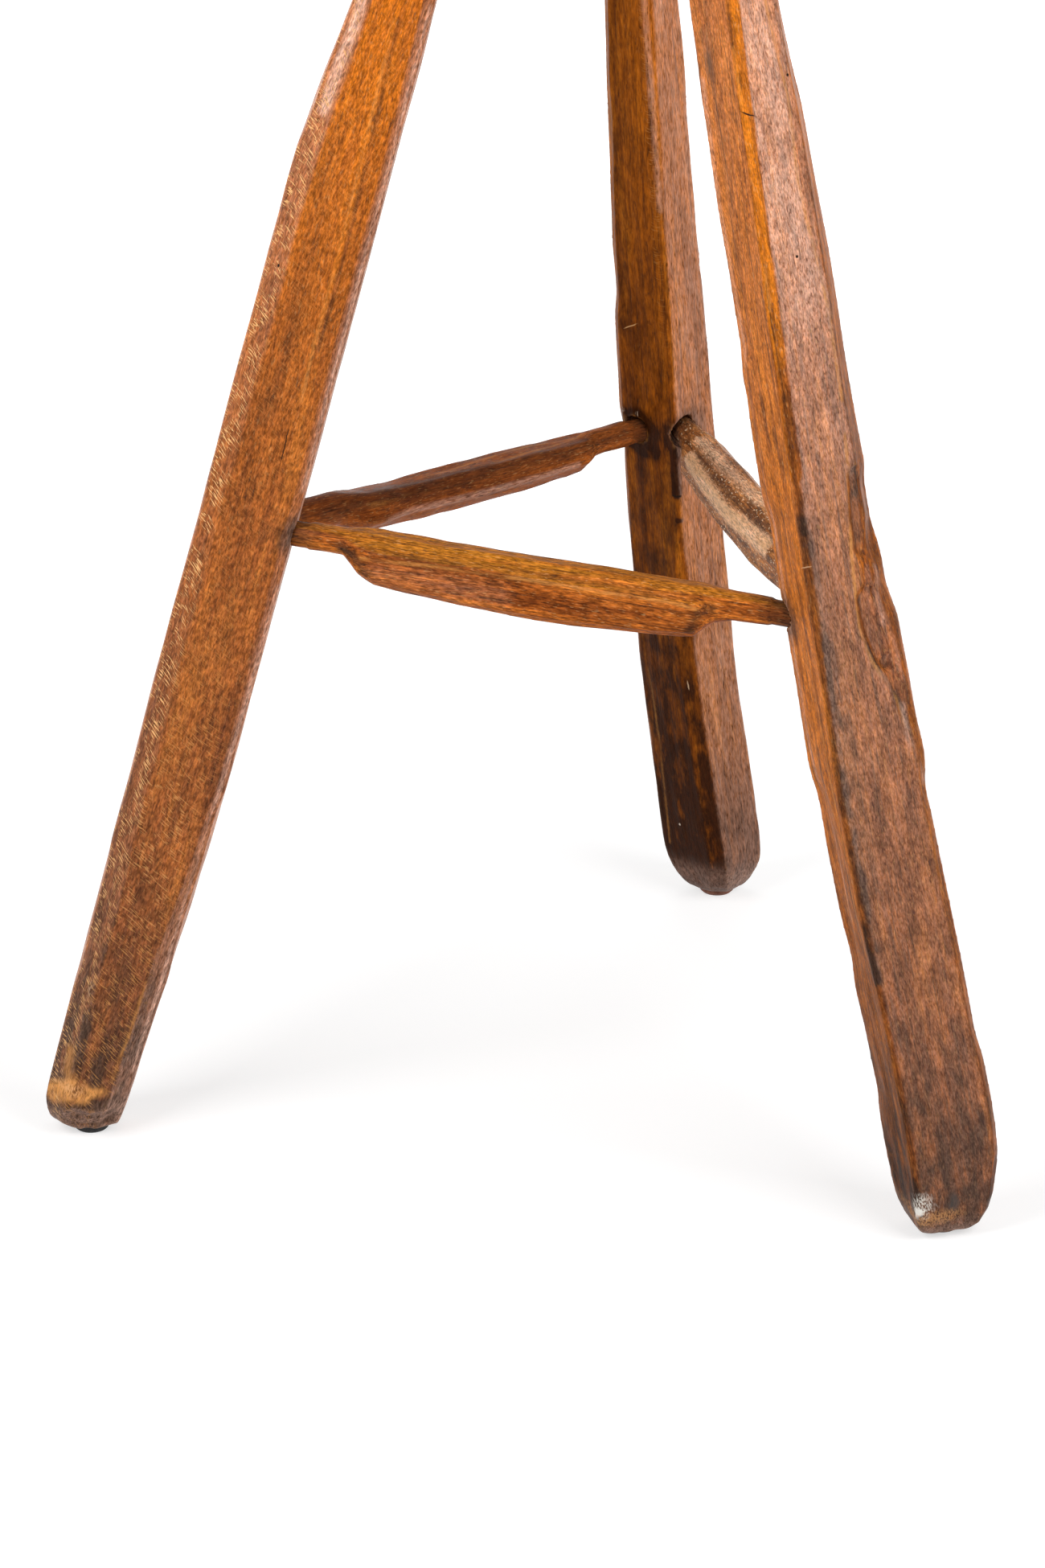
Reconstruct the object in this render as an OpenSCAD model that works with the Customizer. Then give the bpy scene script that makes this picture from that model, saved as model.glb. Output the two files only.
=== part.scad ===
// Tall three-legged workshop stool, hand carved in stained beech.
// The floor is z = 0 and the seat axis is the Z axis.
// Lists with three values read left leg, right leg, back leg.

/* [Stance] */
// Height of the seat rim above the floor
seat_height = 745; // [640:5:800]
// Radius from the seat axis to the middle of each foot
foot_r = [271, 260, 273]; // [230:1:310]
// Turn of each foot away from an even third of the circle
foot_turn = [1, 1, -1.5]; // [-6:0.5:6]
// Radius from the seat axis to each leg axis at the seat rim
top_r = [50, 69, 57]; // [44:1:80]
// Turn of each leg axis at the seat rim
top_turn = [-8.5, -0.5, 0]; // [-12:0.5:12]
// Turn of the faces of each leg about its own axis, at the foot
twist_foot = [-16, -26, -24]; // [-40:1:30]
// The same turn at the low belly
twist_low = [-16, -22, -28]; // [-40:1:30]
// The same turn at the high belly
twist_high = [-16, -8, -17]; // [-40:1:30]
// The same turn where the neck meets the seat
twist_top = [-16, 3, -17]; // [-40:1:30]

/* [Leg widths] */
// Left leg in and out, at the foot, low belly, high belly and neck
left_out = [45, 53, 51.5, 30]; // [28:0.5:64]
// Left leg across, at the foot, low belly, high belly and neck
left_across = [40, 45, 44, 30]; // [28:0.5:64]
// Right leg in and out, at the foot, low belly, high belly and neck
right_out = [44, 43, 43, 33]; // [28:0.5:64]
// Right leg across, at the foot, low belly, high belly and neck
right_across = [49.5, 49.5, 45, 30]; // [28:0.5:64]
// Back leg in and out, at the foot, low belly, high belly and neck
back_out = [47, 45, 38.5, 29]; // [28:0.5:64]
// Back leg across, at the foot, low belly, high belly and neck
back_across = [47, 45, 38.5, 29]; // [28:0.5:64]
// Height of the low belly of each leg
low_z = [200, 255, 190]; // [90:5:280]
// Height of the high belly, where the neck begins to narrow
high_z = [520, 560, 430]; // [400:5:600]

/* [Leg sway] */
// Left leg off its straight line, outward, at the foot, low belly, high belly and neck
left_sway_out = [8, 5.5, 8, -1]; // [-10:0.5:10]
// Left leg off its straight line, sideways
left_sway_side = [2.5, 1.5, 0.5, 0]; // [-10:0.5:10]
// Right leg off its straight line, outward
right_sway_out = [9.5, 3, 1.5, 0]; // [-10:0.5:12]
// Right leg off its straight line, sideways
right_sway_side = [2.5, -2, 0, 0]; // [-10:0.5:10]
// Back leg off its straight line, outward
back_sway_out = [0, 0, 0, 0]; // [-10:0.5:10]
// Back leg off its straight line, sideways
back_sway_side = [0, 7, 5, 0]; // [-10:0.5:10]

/* [Leg arrises] */
// Left leg bevels above the stop: outer front, inner front, inner back, outer back
left_bevel_high = [11, 5, 6, 8]; // [2:0.5:16]
// Left leg bevels below the stop
left_bevel_low = [12, 10, 6, 8]; // [2:0.5:16]
// Right leg bevels above the stop
right_bevel_high = [12, 8, 8, 3]; // [2:0.5:16]
// Right leg bevels below the stop
right_bevel_low = [5, 8, 8, 2.5]; // [2:0.5:16]
// Back leg bevels above the stop
back_bevel_high = [8, 6, 2, 6]; // [2:0.5:16]
// Back leg bevels below the stop
back_bevel_low = [8, 7, 7, 6]; // [2:0.5:16]
// Height where each leg changes from its low bevels to its high ones
stop_z = [140, 295, 235]; // [60:5:340]
// Length of that change
stop_len = [120, 50, 60]; // [20:5:140]
// Bevels where each neck meets the seat, in the same order
neck_bevel = [8, 8, 4.5, 5]; // [4:0.5:9]

/* [Feet] */
// Width of the flat sole under each leg
sole_w = [24, 24, 20.5]; // [20:0.5:34]
// Height over which each foot rounds in to its sole
foot_round = [24, 70, 38]; // [6:1:76]
// The same height on the side that faces back along the foot circle
heel_round = [20, 13, 38]; // [6:1:76]
// Diameter of the glide under each foot
glide_d = [18, 18, 20]; // [14:0.5:21]
// Thickness of each glide
glide_t = [3.5, 2, 4.5]; // [2:0.1:6]
// Bevel round the bottom of each glide
glide_bevel = [0.8, 0.5, 1.5]; // [0.3:0.1:1.5]
// Shank of the nail that holds a glide
nail_d = 2.2; // [1.6:0.1:3]
// Length of that nail in the wood
nail_in = 18; // [8:1:24]
// Head of the nail
nail_head_d = 6; // [4:0.5:8]
// Thickness of the nail head
nail_head_t = 0.9; // [0.5:0.1:1.2]
// Depth of the nail head inside the glide
nail_sunk = 0.4; // [0.2:0.1:0.6]

/* [Stretchers] */
// Height of the mortise at the first end of the front, left and right stretcher
first_z = [331, 325, 321]; // [290:1:350]
// Height of the mortise at the other end
other_z = [310, 317, 312]; // [290:1:350]
// Sideways spacing of a mortise from the axis of its leg
mortise_side = 4; // [2:0.5:6]
// Diameter of the round tenon at each end
peg_d = 13; // [10:0.5:15]
// Distance from the leg axis to the end of a tenon
peg_end = 12; // [11:0.5:15]
// Swelling of the round neck beyond the tenon
neck_swell = 1.4; // [0.4:0.1:2]
// Reach of the round neck from the leg axis at the first end
first_reach = [60, 72, 48]; // [44:1:80]
// Reach of the round neck from the leg axis at the other end
other_reach = [63, 62, 54]; // [44:1:80]
// Length of the carved scoop from the neck to the belly
scoop_len = 16; // [8:1:30]
// Width of the belly, for front, left and right
belly_w = [25, 24, 26]; // [18:0.5:32]
// Rise of the top above the tenon axis at the ends of the belly
rise_end = [8, 3.5, 9]; // [3:0.5:12]
// Rise of the top above the tenon axis in the middle
rise_mid = [8, 5, 9]; // [3:0.5:12]
// Drop of the belly under the tenon axis at its ends
drop_end = [13.5, 13, 14]; // [8:0.5:20]
// Drop of the belly under the tenon axis at its deepest
drop_mid = [22.5, 16.5, 23]; // [14:0.5:30]
// Width of the narrow flat along the top
top_flat = [9, 16, 10]; // [5:0.5:18]
// Depth of the bevel beside that flat
top_bevel = [7.5, 3.5, 8]; // [2:0.5:12]
// Width of the flat along the bottom
bottom_flat = [16, 8, 10]; // [4:0.5:20]
// Depth of the bevel beside the bottom flat
bottom_bevel = [4, 8, 7]; // [3:0.5:10]
// Roll of each stretcher about its own axis
stretcher_roll = [0, 0, 0]; // [-30:1:30]
// Widening of the worn mortise mouths in the back leg
mouth_wear = 2.5; // [0.5:0.1:4]
// Depth of those worn mouths from the face of the leg
mouth_depth = 5; // [3:0.5:9]

/* [Seat] */
// Diameter of the seat
seat_d = 320; // [260:5:380]
// Thickness of the seat at its rim
seat_t = 42; // [34:1:50]
// Rounding of the seat edge
seat_edge = 9; // [3:0.5:14]
// Depth of the hollow in the top
dish_depth = 6; // [2:0.5:9]
// Diameter of the hollow in the top
dish_d = 270; // [220:5:300]
// Diameter of the leg tenons through the seat
tenon_d = 27; // [22:0.5:28]
// Depth of a tenon wedge
wedge_h = 26; // [16:1:30]
// Thickness of a wedge at its top
wedge_top = 4; // [2.5:0.1:6]
// Thickness of a wedge at its tip
wedge_tip = 1; // [0.6:0.1:2]

/* [Fits] */
// Glue line round tenons, pegs, nails and wedges
glue_gap = 0.08; // [0.04:0.01:0.2]

/* [Hidden] */

left = 0;
right = 1;
back = 2;
even_turn = [210, 330, 90];
leg_out = [left_out, right_out, back_out];
leg_across = [left_across, right_across, back_across];
sway_out = [left_sway_out, right_sway_out, back_sway_out];
sway_side = [left_sway_side, right_sway_side, back_sway_side];
bevel_high = [left_bevel_high, right_bevel_high, back_bevel_high];
bevel_low = [left_bevel_low, right_bevel_low, back_bevel_low];
// The two legs that each stretcher joins: front, left, right
stretcher_legs = [[left, right], [left, back], [back, right]];
under_z = seat_height - seat_t;
dish_r = (dish_d * dish_d / 4 + dish_depth * dish_depth) / (2 * dish_depth);
// Spacing of the carved sections along a leg and along a stretcher
leg_step = 18;
dome_steps = 8;
stretcher_steps = 26;
dish_steps = 10;
edge_steps = 6;
// Overlap of joined shapes inside one piece
bury = 12;
round_fn = 64;
// Turn of a tenon and its bore about their own axis, clear of the seat's rings
seam_turn = 40;

wood_colour = [0.58, 0.29, 0.11];
worn_colour = [0.66, 0.38, 0.16];
wedge_colour = [0.45, 0.23, 0.10];
glide_colours = [[0.05, 0.05, 0.05], [0.10, 0.07, 0.06], [0.36, 0.14, 0.10]];
nail_colour = [0.55, 0.55, 0.57];

function mix(a, b, t) = a + (b - a) * t;
function clip(t) = min(1, max(0, t));
function ease(t) = clip(t) * clip(t) * (3 - 2 * clip(t));
function polar(r, a) = [r * cos(a), r * sin(a)];

// The straight line of a leg, from its glide to the seat rim
function foot_at(i) = polar(foot_r[i], even_turn[i] + foot_turn[i]);
function top_at(i) = polar(top_r[i], even_turn[i] + top_turn[i]);
function line_at(i, z) = mix(foot_at(i), top_at(i), z / seat_height);
function out_of(i) = polar(1, even_turn[i]);
function side_of(i) = polar(1, even_turn[i] + 90);

// A size given at four heights of a leg, read at height z
function along(v, i, z) =
    z < low_z[i] ? mix(v[0], v[1], ease((z - glide_t[i]) / (low_z[i] - glide_t[i]))) :
    z < high_z[i] ? mix(v[1], v[2], (z - low_z[i]) / (high_z[i] - low_z[i])) :
    mix(v[2], v[3], (z - high_z[i]) / (under_z - high_z[i]));

// The middle of a carved section, which sways off the straight line
function sway_at(i, z) =
    out_of(i) * along(sway_out[i], i, z) + side_of(i) * along(sway_side[i], i, z);
function axis_at(i, z) = line_at(i, z) + sway_at(i, z);
function half_out(i, z) = along(leg_out[i], i, z) / 2;
function half_across(i, z) = along(leg_across[i], i, z) / 2;
// A face at distance reach draws in over height rise to a sole centred at distance at
function drawn_in(i, z, reach, at, rise) =
    mix(reach, at + sole_w[i] / 2,
        1 - sqrt(1 - pow(1 - clip((z - glide_t[i]) / rise), 2)));
function bevel_at(i, k, z) =
    mix(mix(bevel_low[i][k], bevel_high[i][k], ease((z - stop_z[i]) / stop_len[i] + 0.5)),
        neck_bevel[k], ease((z - high_z[i]) / (under_z - high_z[i])));

function face_turn(i, z) =
    z < low_z[i] ? mix(twist_foot[i], twist_low[i], z / low_z[i]) :
    z < high_z[i] ? mix(twist_low[i], twist_high[i], (z - low_z[i]) / (high_z[i] - low_z[i])) :
    mix(twist_high[i], twist_top[i], (z - high_z[i]) / (under_z - high_z[i]));

// Eight corners of the bevelled section, turned with the leg
function section(i, z) =
    let (c = [for (k = [0 : 3]) bevel_at(i, k, z)],
         turn = even_turn[i] + face_turn(i, z),
         middle = axis_at(i, z),
         off_out = -sway_at(i, z) * polar(1, turn),
         off_side = -sway_at(i, z) * polar(1, turn + 90),
         a = drawn_in(i, z, half_out(i, z), off_out, foot_round[i]),
         d = drawn_in(i, z, half_out(i, z), -off_out, foot_round[i]),
         b = drawn_in(i, z, half_across(i, z), off_side, foot_round[i]),
         e = drawn_in(i, z, half_across(i, z), -off_side, heel_round[i]),
         flat = [[a, b - c[0]], [a - c[0], b], [c[1] - d, b], [-d, b - c[1]],
                 [-d, c[2] - e], [c[2] - d, -e], [a - c[3], -e], [a, c[3] - e]])
    [for (p = flat) [middle.x + p.x * cos(turn) - p.y * sin(turn),
                     middle.y + p.x * sin(turn) + p.y * cos(turn), z]];

function leg_heights(i) =
    let (dome = max(foot_round[i], heel_round[i]),
         dome_top = glide_t[i] + dome,
         steps = ceil((under_z - dome_top) / leg_step))
    concat([for (k = [0 : dome_steps - 1])
                glide_t[i] + dome * (1 - cos(90 * k / dome_steps))],
           [for (k = [0 : steps]) mix(dome_top, under_z, k / steps)]);

// A closed skin over rings of points
module skin(rings) {
    n = len(rings[0]);
    last = len(rings) - 1;
    points = [for (ring = rings) each ring];
    sides = [for (r = [0 : last - 1]) for (k = [0 : n - 1])
        let (a = r * n + k, b = r * n + (k + 1) % n, c = b + n, d = a + n)
        each [[a, d, c], [a, c, b]]];
    base = [for (k = [0 : n - 1]) k];
    crown = [for (k = [n - 1 : -1 : 0]) last * n + k];
    polyhedron(points, concat([base], sides, [crown]), convexity = 6);
}

// Lay the Z axis of the children along a line from one point to another
module aim(from, to) {
    d = to - from;
    translate(from)
        rotate([0, acos(d.z / norm(d)), atan2(d.y, d.x)])
            children();
}

function point_on(i, z) = concat(line_at(i, z), [z]);

module on_leg_line(i) {
    aim(point_on(i, under_z), point_on(i, seat_height)) children();
}
tenon_len = [for (i = [left : back])
    norm(point_on(i, seat_height) - point_on(i, under_z))];

// The hollowed top of the seat, from the middle out to the rim
dish_line = [for (k = [0 : dish_steps])
    let (r = dish_d / 2 * k / dish_steps)
    [r, seat_height - dish_depth + dish_r - sqrt(dish_r * dish_r - r * r)]];

// What lies above that hollow
module above_seat() {
    rotate_extrude($fn = 2 * round_fn)
        polygon(concat(dish_line, [[dish_d / 2, seat_height + bury], [0, seat_height + bury]]));
}

// A wedge in the leg line's own frame; gap widens it into its kerf
module wedge_shape(i, gap) {
    tip_z = tenon_len[i] - wedge_h - gap;
    rise = wedge_h + bury;
    flare = (wedge_top - wedge_tip) / 2 * rise / wedge_h;
    rotate([90, 0, 0])
        linear_extrude(height = tenon_d + bury, center = true)
            polygon([[-wedge_tip / 2 - gap, tip_z], [wedge_tip / 2 + gap, tip_z],
                     [wedge_tip / 2 + flare + gap, tip_z + rise],
                     [-wedge_tip / 2 - flare - gap, tip_z + rise]]);
}

// A quarter round of the seat edge about height z
function seat_edge_line(z, start) =
    [for (k = [0 : edge_steps])
        [seat_d / 2 - seat_edge, z] + polar(seat_edge, start + 90 * k / edge_steps)];

module seat() {
    color(worn_colour)
        difference() {
            rotate_extrude($fn = 2 * round_fn)
                polygon(concat([[0, under_z]], seat_edge_line(under_z + seat_edge, -90),
                               seat_edge_line(seat_height - seat_edge, 0),
                               [for (k = [dish_steps : -1 : 0]) dish_line[k]]));
            for (i = [left : back])
                on_leg_line(i)
                    translate([0, 0, -bury])
                        rotate([0, 0, seam_turn])
                            cylinder(d = tenon_d + 2 * glue_gap,
                                     h = tenon_len[i] + 2 * bury, $fn = round_fn);
        }
}

// End e of stretcher s aims at a point inside its leg, on the side of its other leg
function mortise_z(s, e) = e == 0 ? first_z[s] : other_z[s];
function aim_point(s, e) =
    let (i = stretcher_legs[s][e], j = stretcher_legs[s][1 - e], z = mortise_z(s, e),
         toward = side_of(i) * (foot_at(j) - foot_at(i)) > 0 ? 1 : -1)
    concat(axis_at(i, z) + side_of(i) * mortise_side * toward, [z]);
function span_of(s) = norm(aim_point(s, 1) - aim_point(s, 0));

module on_stretcher_line(s, e) {
    aim(aim_point(s, e), aim_point(s, 1 - e)) children();
}

// Distances from the leg axis to the nearest face and past the farthest arris
function face_of(s, e) =
    let (i = stretcher_legs[s][e], z = mortise_z(s, e))
    min(half_out(i, z), half_across(i, z));
function clear_of(s, e) =
    let (i = stretcher_legs[s][e], z = mortise_z(s, e))
    norm([half_out(i, z), half_across(i, z)]);

module mortises(i) {
    for (s = [0 : 2]) for (e = [0, 1])
        if (stretcher_legs[s][e] == i)
            on_stretcher_line(s, e) {
                translate([0, 0, peg_end - glue_gap])
                    cylinder(d = peg_d + 2 * glue_gap, h = clear_of(s, e), $fn = round_fn);
                if (i == back)
                    translate([0, 0, face_of(s, e) - mouth_depth + mouth_wear])
                        cylinder(d = peg_d + 2 * mouth_wear, h = clear_of(s, e), $fn = round_fn);
            }
}

module leg(i) {
    color(wood_colour)
        difference() {
            union() {
                skin([for (z = leg_heights(i)) section(i, z)]);
                on_leg_line(i)
                    translate([0, 0, -bury])
                        rotate([0, 0, seam_turn])
                            cylinder(d = tenon_d, h = tenon_len[i] + bury, $fn = round_fn);
            }
            above_seat();
            on_leg_line(i) wedge_shape(i, glue_gap);
            mortises(i);
            translate(concat(foot_at(i), [glide_t[i] - bury]))
                cylinder(d = nail_d + 2 * glue_gap, h = nail_in + bury + glue_gap, $fn = round_fn);
        }
}

module wedge(i) {
    color(wedge_colour)
        difference() {
            on_leg_line(i)
                intersection() {
                    wedge_shape(i, 0);
                    cylinder(d = tenon_d, h = tenon_len[i] + bury / 2, $fn = round_fn);
                }
            above_seat();
        }
}

module leg_left() {
    leg(left);
}

module leg_right() {
    leg(right);
}

module leg_back() {
    leg(back);
}

module wedge_left() {
    wedge(left);
}

module wedge_right() {
    wedge(right);
}

module wedge_back() {
    wedge(back);
}

// Sixteen points of a stretcher's section: blend 0 is the neck, 1 the belly
function stretcher_ring(s, blend, up, drop) =
    let (w = belly_w[s] / 2, t = top_flat[s] / 2, b = bottom_flat[s] / 2,
         corners = [[t, up], [w, up - top_bevel[s]], [w, bottom_bevel[s] - drop], [b, -drop],
                    [-b, -drop], [-w, bottom_bevel[s] - drop], [-w, up - top_bevel[s]], [-t, up]])
    [for (k = [15 : -1 : 0])
        let (p = corners[floor(k / 2)], q = corners[ceil(k / 2) % 8],
             belly = (p + q) / 2,
             neck = polar(peg_d / 2 + neck_swell / 2, 67.5 - 22.5 * k),
             at = mix(neck, belly, blend), roll = stretcher_roll[s])
        [at.x * cos(roll) - at.y * sin(roll), at.x * sin(roll) + at.y * cos(roll)]];

module stretcher(s) {
    span = span_of(s);
    first = clear_of(s, 0);
    last = span - clear_of(s, 1);
    places = [for (k = [0 : stretcher_steps]) mix(first, last, k / stretcher_steps)];
    rings = [for (x = places)
        let (blend = min(ease((x - first_reach[s]) / scoop_len + 0.5),
                         ease((span - x - other_reach[s]) / scoop_len + 0.5)),
             hang = sin(180 * clip((x - first) / (last - first))),
             up = mix(rise_end[s], rise_mid[s], hang),
             drop = mix(drop_end[s], drop_mid[s], hang))
        [for (p = stretcher_ring(s, blend, up, drop)) [-p.y, p.x, x]]];
    color(wood_colour)
        union() {
            on_stretcher_line(s, 0) {
                skin(rings);
                translate([0, 0, peg_end])
                    cylinder(d = peg_d, h = first - peg_end + bury / 2, $fn = round_fn);
            }
            on_stretcher_line(s, 1)
                translate([0, 0, peg_end])
                    cylinder(d = peg_d, h = span - last - peg_end + bury / 2, $fn = round_fn);
        }
}

module stretcher_front() {
    stretcher(0);
}

module stretcher_left() {
    stretcher(1);
}

module stretcher_right() {
    stretcher(2);
}

// A disc under the foot with a sunk hole for its nail
module glide(i) {
    r = glide_d[i] / 2;
    color(glide_colours[i])
        translate(concat(foot_at(i), [0]))
            difference() {
                rotate_extrude($fn = round_fn)
                    polygon([[0, 0], [r - glide_bevel[i], 0], [r, glide_bevel[i]],
                             [r, glide_t[i]], [0, glide_t[i]]]);
                translate([0, 0, -bury])
                    cylinder(d = nail_head_d + 2 * glue_gap,
                             h = bury + nail_sunk + nail_head_t, $fn = round_fn);
                cylinder(d = nail_d + 2 * glue_gap, h = glide_t[i] + bury, $fn = round_fn);
            }
}

module glide_left() {
    glide(left);
}

module glide_right() {
    glide(right);
}

module glide_back() {
    glide(back);
}

module glide_nail(i) {
    color(nail_colour)
        translate(concat(foot_at(i), [nail_sunk])) {
            cylinder(d = nail_head_d, h = nail_head_t, $fn = round_fn);
            cylinder(d = nail_d, h = glide_t[i] + nail_in - nail_sunk, $fn = round_fn);
        }
}

module glide_nail_left() {
    glide_nail(left);
}

module glide_nail_right() {
    glide_nail(right);
}

module glide_nail_back() {
    glide_nail(back);
}

seat();
leg_left();
leg_right();
leg_back();
stretcher_front();
stretcher_left();
stretcher_right();
wedge_left();
wedge_right();
wedge_back();
glide_left();
glide_right();
glide_back();
glide_nail_left();
glide_nail_right();
glide_nail_back();
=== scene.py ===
from math import cos, pi, radians, sin

import bmesh
import bpy
import numpy as np
from mathutils import Matrix, Vector
from mathutils.bvhtree import BVHTree


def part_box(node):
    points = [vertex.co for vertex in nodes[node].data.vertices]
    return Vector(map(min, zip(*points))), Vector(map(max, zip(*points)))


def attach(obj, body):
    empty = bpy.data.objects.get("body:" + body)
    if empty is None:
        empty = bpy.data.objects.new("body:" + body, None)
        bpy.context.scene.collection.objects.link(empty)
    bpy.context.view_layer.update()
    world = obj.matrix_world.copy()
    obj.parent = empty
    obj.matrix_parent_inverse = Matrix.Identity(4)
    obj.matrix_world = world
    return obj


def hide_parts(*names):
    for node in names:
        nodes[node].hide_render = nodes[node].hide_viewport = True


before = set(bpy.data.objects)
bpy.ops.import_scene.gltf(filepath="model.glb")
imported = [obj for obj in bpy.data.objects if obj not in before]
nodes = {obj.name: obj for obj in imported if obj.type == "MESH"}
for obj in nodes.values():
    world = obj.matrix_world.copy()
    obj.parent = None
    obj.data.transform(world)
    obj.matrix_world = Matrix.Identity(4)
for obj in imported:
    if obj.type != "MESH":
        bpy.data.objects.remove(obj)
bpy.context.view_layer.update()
print("stool frame:", len(nodes), "solids")


def enter(thing):
    bpy.context.scene.collection.objects.link(thing)


# camera, set where the photograph was taken
view = {
    "place": (0.6513, -2.3144, 1.1132),
    "look": (-0.26405, 0.89269, -0.36522),
    "focalPixels": 6000,
    "frameWide": 1300,
    "frameTall": 1950,
    "sensor": 36,
    "farthest": 60,
    "reach": 2.4,  # about as far as the stool stands from the camera
}

viewTurn = Vector(view["look"]).to_track_quat("-Z", "Y")
cameraData = bpy.data.cameras.new("stoolCamera")
cameraData.sensor_width = view["sensor"]
cameraData.lens = view["focalPixels"] / view["frameTall"] * view["sensor"]
cameraData.clip_end = view["farthest"]
camera = bpy.data.objects.new("stoolCamera", cameraData)
camera.location = view["place"]
camera.rotation_euler = viewTurn.to_euler()
enter(camera)
bpy.context.scene.camera = camera
bpy.context.scene.view_settings.view_transform = "Standard"
print("camera set")


def treeOf(node):  # search tree over one solid
    mesh = nodes[node].data
    corners = [v.co.copy() for v in mesh.vertices]
    return BVHTree.FromPolygons(corners, [tuple(p.vertices) for p in mesh.polygons])


trees = {name: treeOf(name) for name in nodes}


def seenAt(node, pixel):  # the point of a solid that the camera sees at a pixel of the photograph
    side = (pixel[0] - view["frameWide"] / 2) / view["focalPixels"]
    rise = (view["frameTall"] / 2 - pixel[1]) / view["focalPixels"]
    ray = (viewTurn @ Vector((side, rise, -1))).normalized()
    found = trees[node].ray_cast(Vector(view["place"]), ray)
    if found[0] is None:
        found = trees[node].find_nearest(Vector(view["place"]) + ray * view["reach"])
    return found[:2]  # point and normal


# small tools for carving with arrays

def softStep(x, low, high):
    t = np.clip((x - low) / (high - low), 0, 1)
    return t * t * (3 - 2 * t)


def wobble(coords, spacing, seed, waves=16):  # smooth seeded unevenness, about -1 to 1
    rng = np.random.default_rng(seed)
    turn = rng.normal(size=(waves, 3))
    turn /= np.linalg.norm(turn, axis=1, keepdims=True)
    rate = 2 * pi / (np.asarray(spacing) * rng.uniform(0.6, 1.5, (waves, 1)))
    phase = rng.uniform(0, 2 * pi, waves)
    return np.sin(coords @ (turn * rate).T + phase).sum(1) / waves ** 0.5


def readFlat(holder, key, wide, kind=np.float32):
    flat = np.empty(len(holder) * wide, kind)
    holder.foreach_get(key, flat)
    return flat.reshape(-1, wide)


def readPoints(mesh):
    return readFlat(mesh.vertices, "co", 3).astype(float)


def readNormals(mesh):
    return readFlat(mesh.vertex_normals, "vector", 3).astype(float)


def readEdges(mesh):
    return readFlat(mesh.edges, "vertices", 2, np.int32)


def writePoints(mesh, points):
    mesh.vertices.foreach_set("co", points.astype(np.float32).ravel())
    mesh.update()


def aroundMean(values, edges):  # mean of the points joined to each point
    count = len(values)
    near = np.bincount(edges[:, 0], minlength=count) + np.bincount(edges[:, 1], minlength=count)
    table = values.reshape(count, -1)
    total = np.empty_like(table)
    for c in range(table.shape[1]):
        total[:, c] = np.bincount(edges[:, 0], table[edges[:, 1], c], count)
        total[:, c] += np.bincount(edges[:, 1], table[edges[:, 0], c], count)
    return (total / np.maximum(near, 1)[:, None]).reshape(values.shape)


def relax(points, edges, rounds, weight=1.0, swell=0.0, shrink=0.6):  # swell gives back what smoothing shrinks
    pull = np.broadcast_to(weight, len(points))[:, None]
    for _ in range(rounds):
        points = points + (aroundMean(points, edges) - points) * pull * shrink
        if swell:
            points = points - (aroundMean(points, edges) - points) * pull * swell
    return points


wearRounds, wearSwell = 2, 0.62  # every arris loses a little


def spread(values, edges, rounds):
    for _ in range(rounds):
        values = 0.5 * values + 0.5 * aroundMean(values, edges)
    return values


def roundness(points, normals, edges, rounds=3):  # above 0 on an arris, below 0 in a hollow, in 1/m
    mean = aroundMean(points, edges)
    size = np.linalg.norm(points[edges[:, 0]] - points[edges[:, 1]], axis=1).mean()
    bend = -((mean - points) * normals).sum(1) / size ** 2
    return spread(bend, edges, rounds)


def gapTo(points, node, limit):  # distance to another solid, up to a limit
    low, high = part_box(node)
    gap = np.full(len(points), limit)
    near = np.all((points > np.array(low) - limit) & (points < np.array(high) + limit), axis=1)
    for i in np.nonzero(near)[0]:
        found = trees[node].find_nearest(Vector(points[i]), limit)
        if found[0] is not None:
            gap[i] = found[3]
    return gap


def jointSoak(points, neighbours, carve):  # dirt gathers where another piece goes in
    dirtAndShade = np.zeros(len(points))
    for node in neighbours:
        gap = gapTo(points, node, carve["jointReach"])
        dirtAndShade += (1 - softStep(gap, *carve["jointFade"])) * carve["jointStain"]
    return dirtAndShade


def voxelCopy(node, voxel):  # fine even mesh over a solid, ready to carve
    rough = bpy.data.objects.new("rough", nodes[node].data.copy())
    enter(rough)
    remesh = rough.modifiers.new("evenMesh", "REMESH")
    remesh.mode = "VOXEL"
    remesh.voxel_size = voxel
    mesh = bpy.data.meshes.new_from_object(rough.evaluated_get(bpy.context.evaluated_depsgraph_get()))
    bpy.data.objects.remove(rough)
    mesh.materials.clear()
    return mesh


def keepHalf(source, target, height, above, weld=0):  # cuts a mesh level and closes the cut
    bm = bmesh.new()
    bm.from_mesh(source)
    if weld:
        bmesh.ops.remove_doubles(bm, verts=bm.verts, dist=weld)
    bmesh.ops.bisect_plane(bm, geom=bm.verts[:] + bm.edges[:] + bm.faces[:], plane_co=(0, 0, height),
                           plane_no=(0, 0, 1), clear_outer=not above, clear_inner=above)
    bmesh.ops.holes_fill(bm, edges=[e for e in bm.edges if e.is_boundary])
    bm.to_mesh(target)
    bm.free()


def store(mesh, name, values):  # one number or one vector for each point
    values = np.asarray(values, np.float32)
    kind, key = ("FLOAT", "value") if values.ndim == 1 else ("FLOAT_VECTOR", "vector")
    mesh.attributes.new(name, kind, "POINT").data.foreach_set(key, values.ravel())


sharpTurn = radians(48)  # edges that turn more stay crisp


def settle(mesh, pieceName, node, material):  # makes the piece, in the place of its solid
    mesh.polygons.foreach_set("use_smooth", np.ones(len(mesh.polygons), bool))
    mesh.set_sharp_from_angle(angle=sharpTurn)
    piece = bpy.data.objects.new(pieceName, mesh)
    enter(piece)
    mesh.materials.append(material)
    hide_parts(node)
    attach(piece, "root")
    return piece


# material tools

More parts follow.
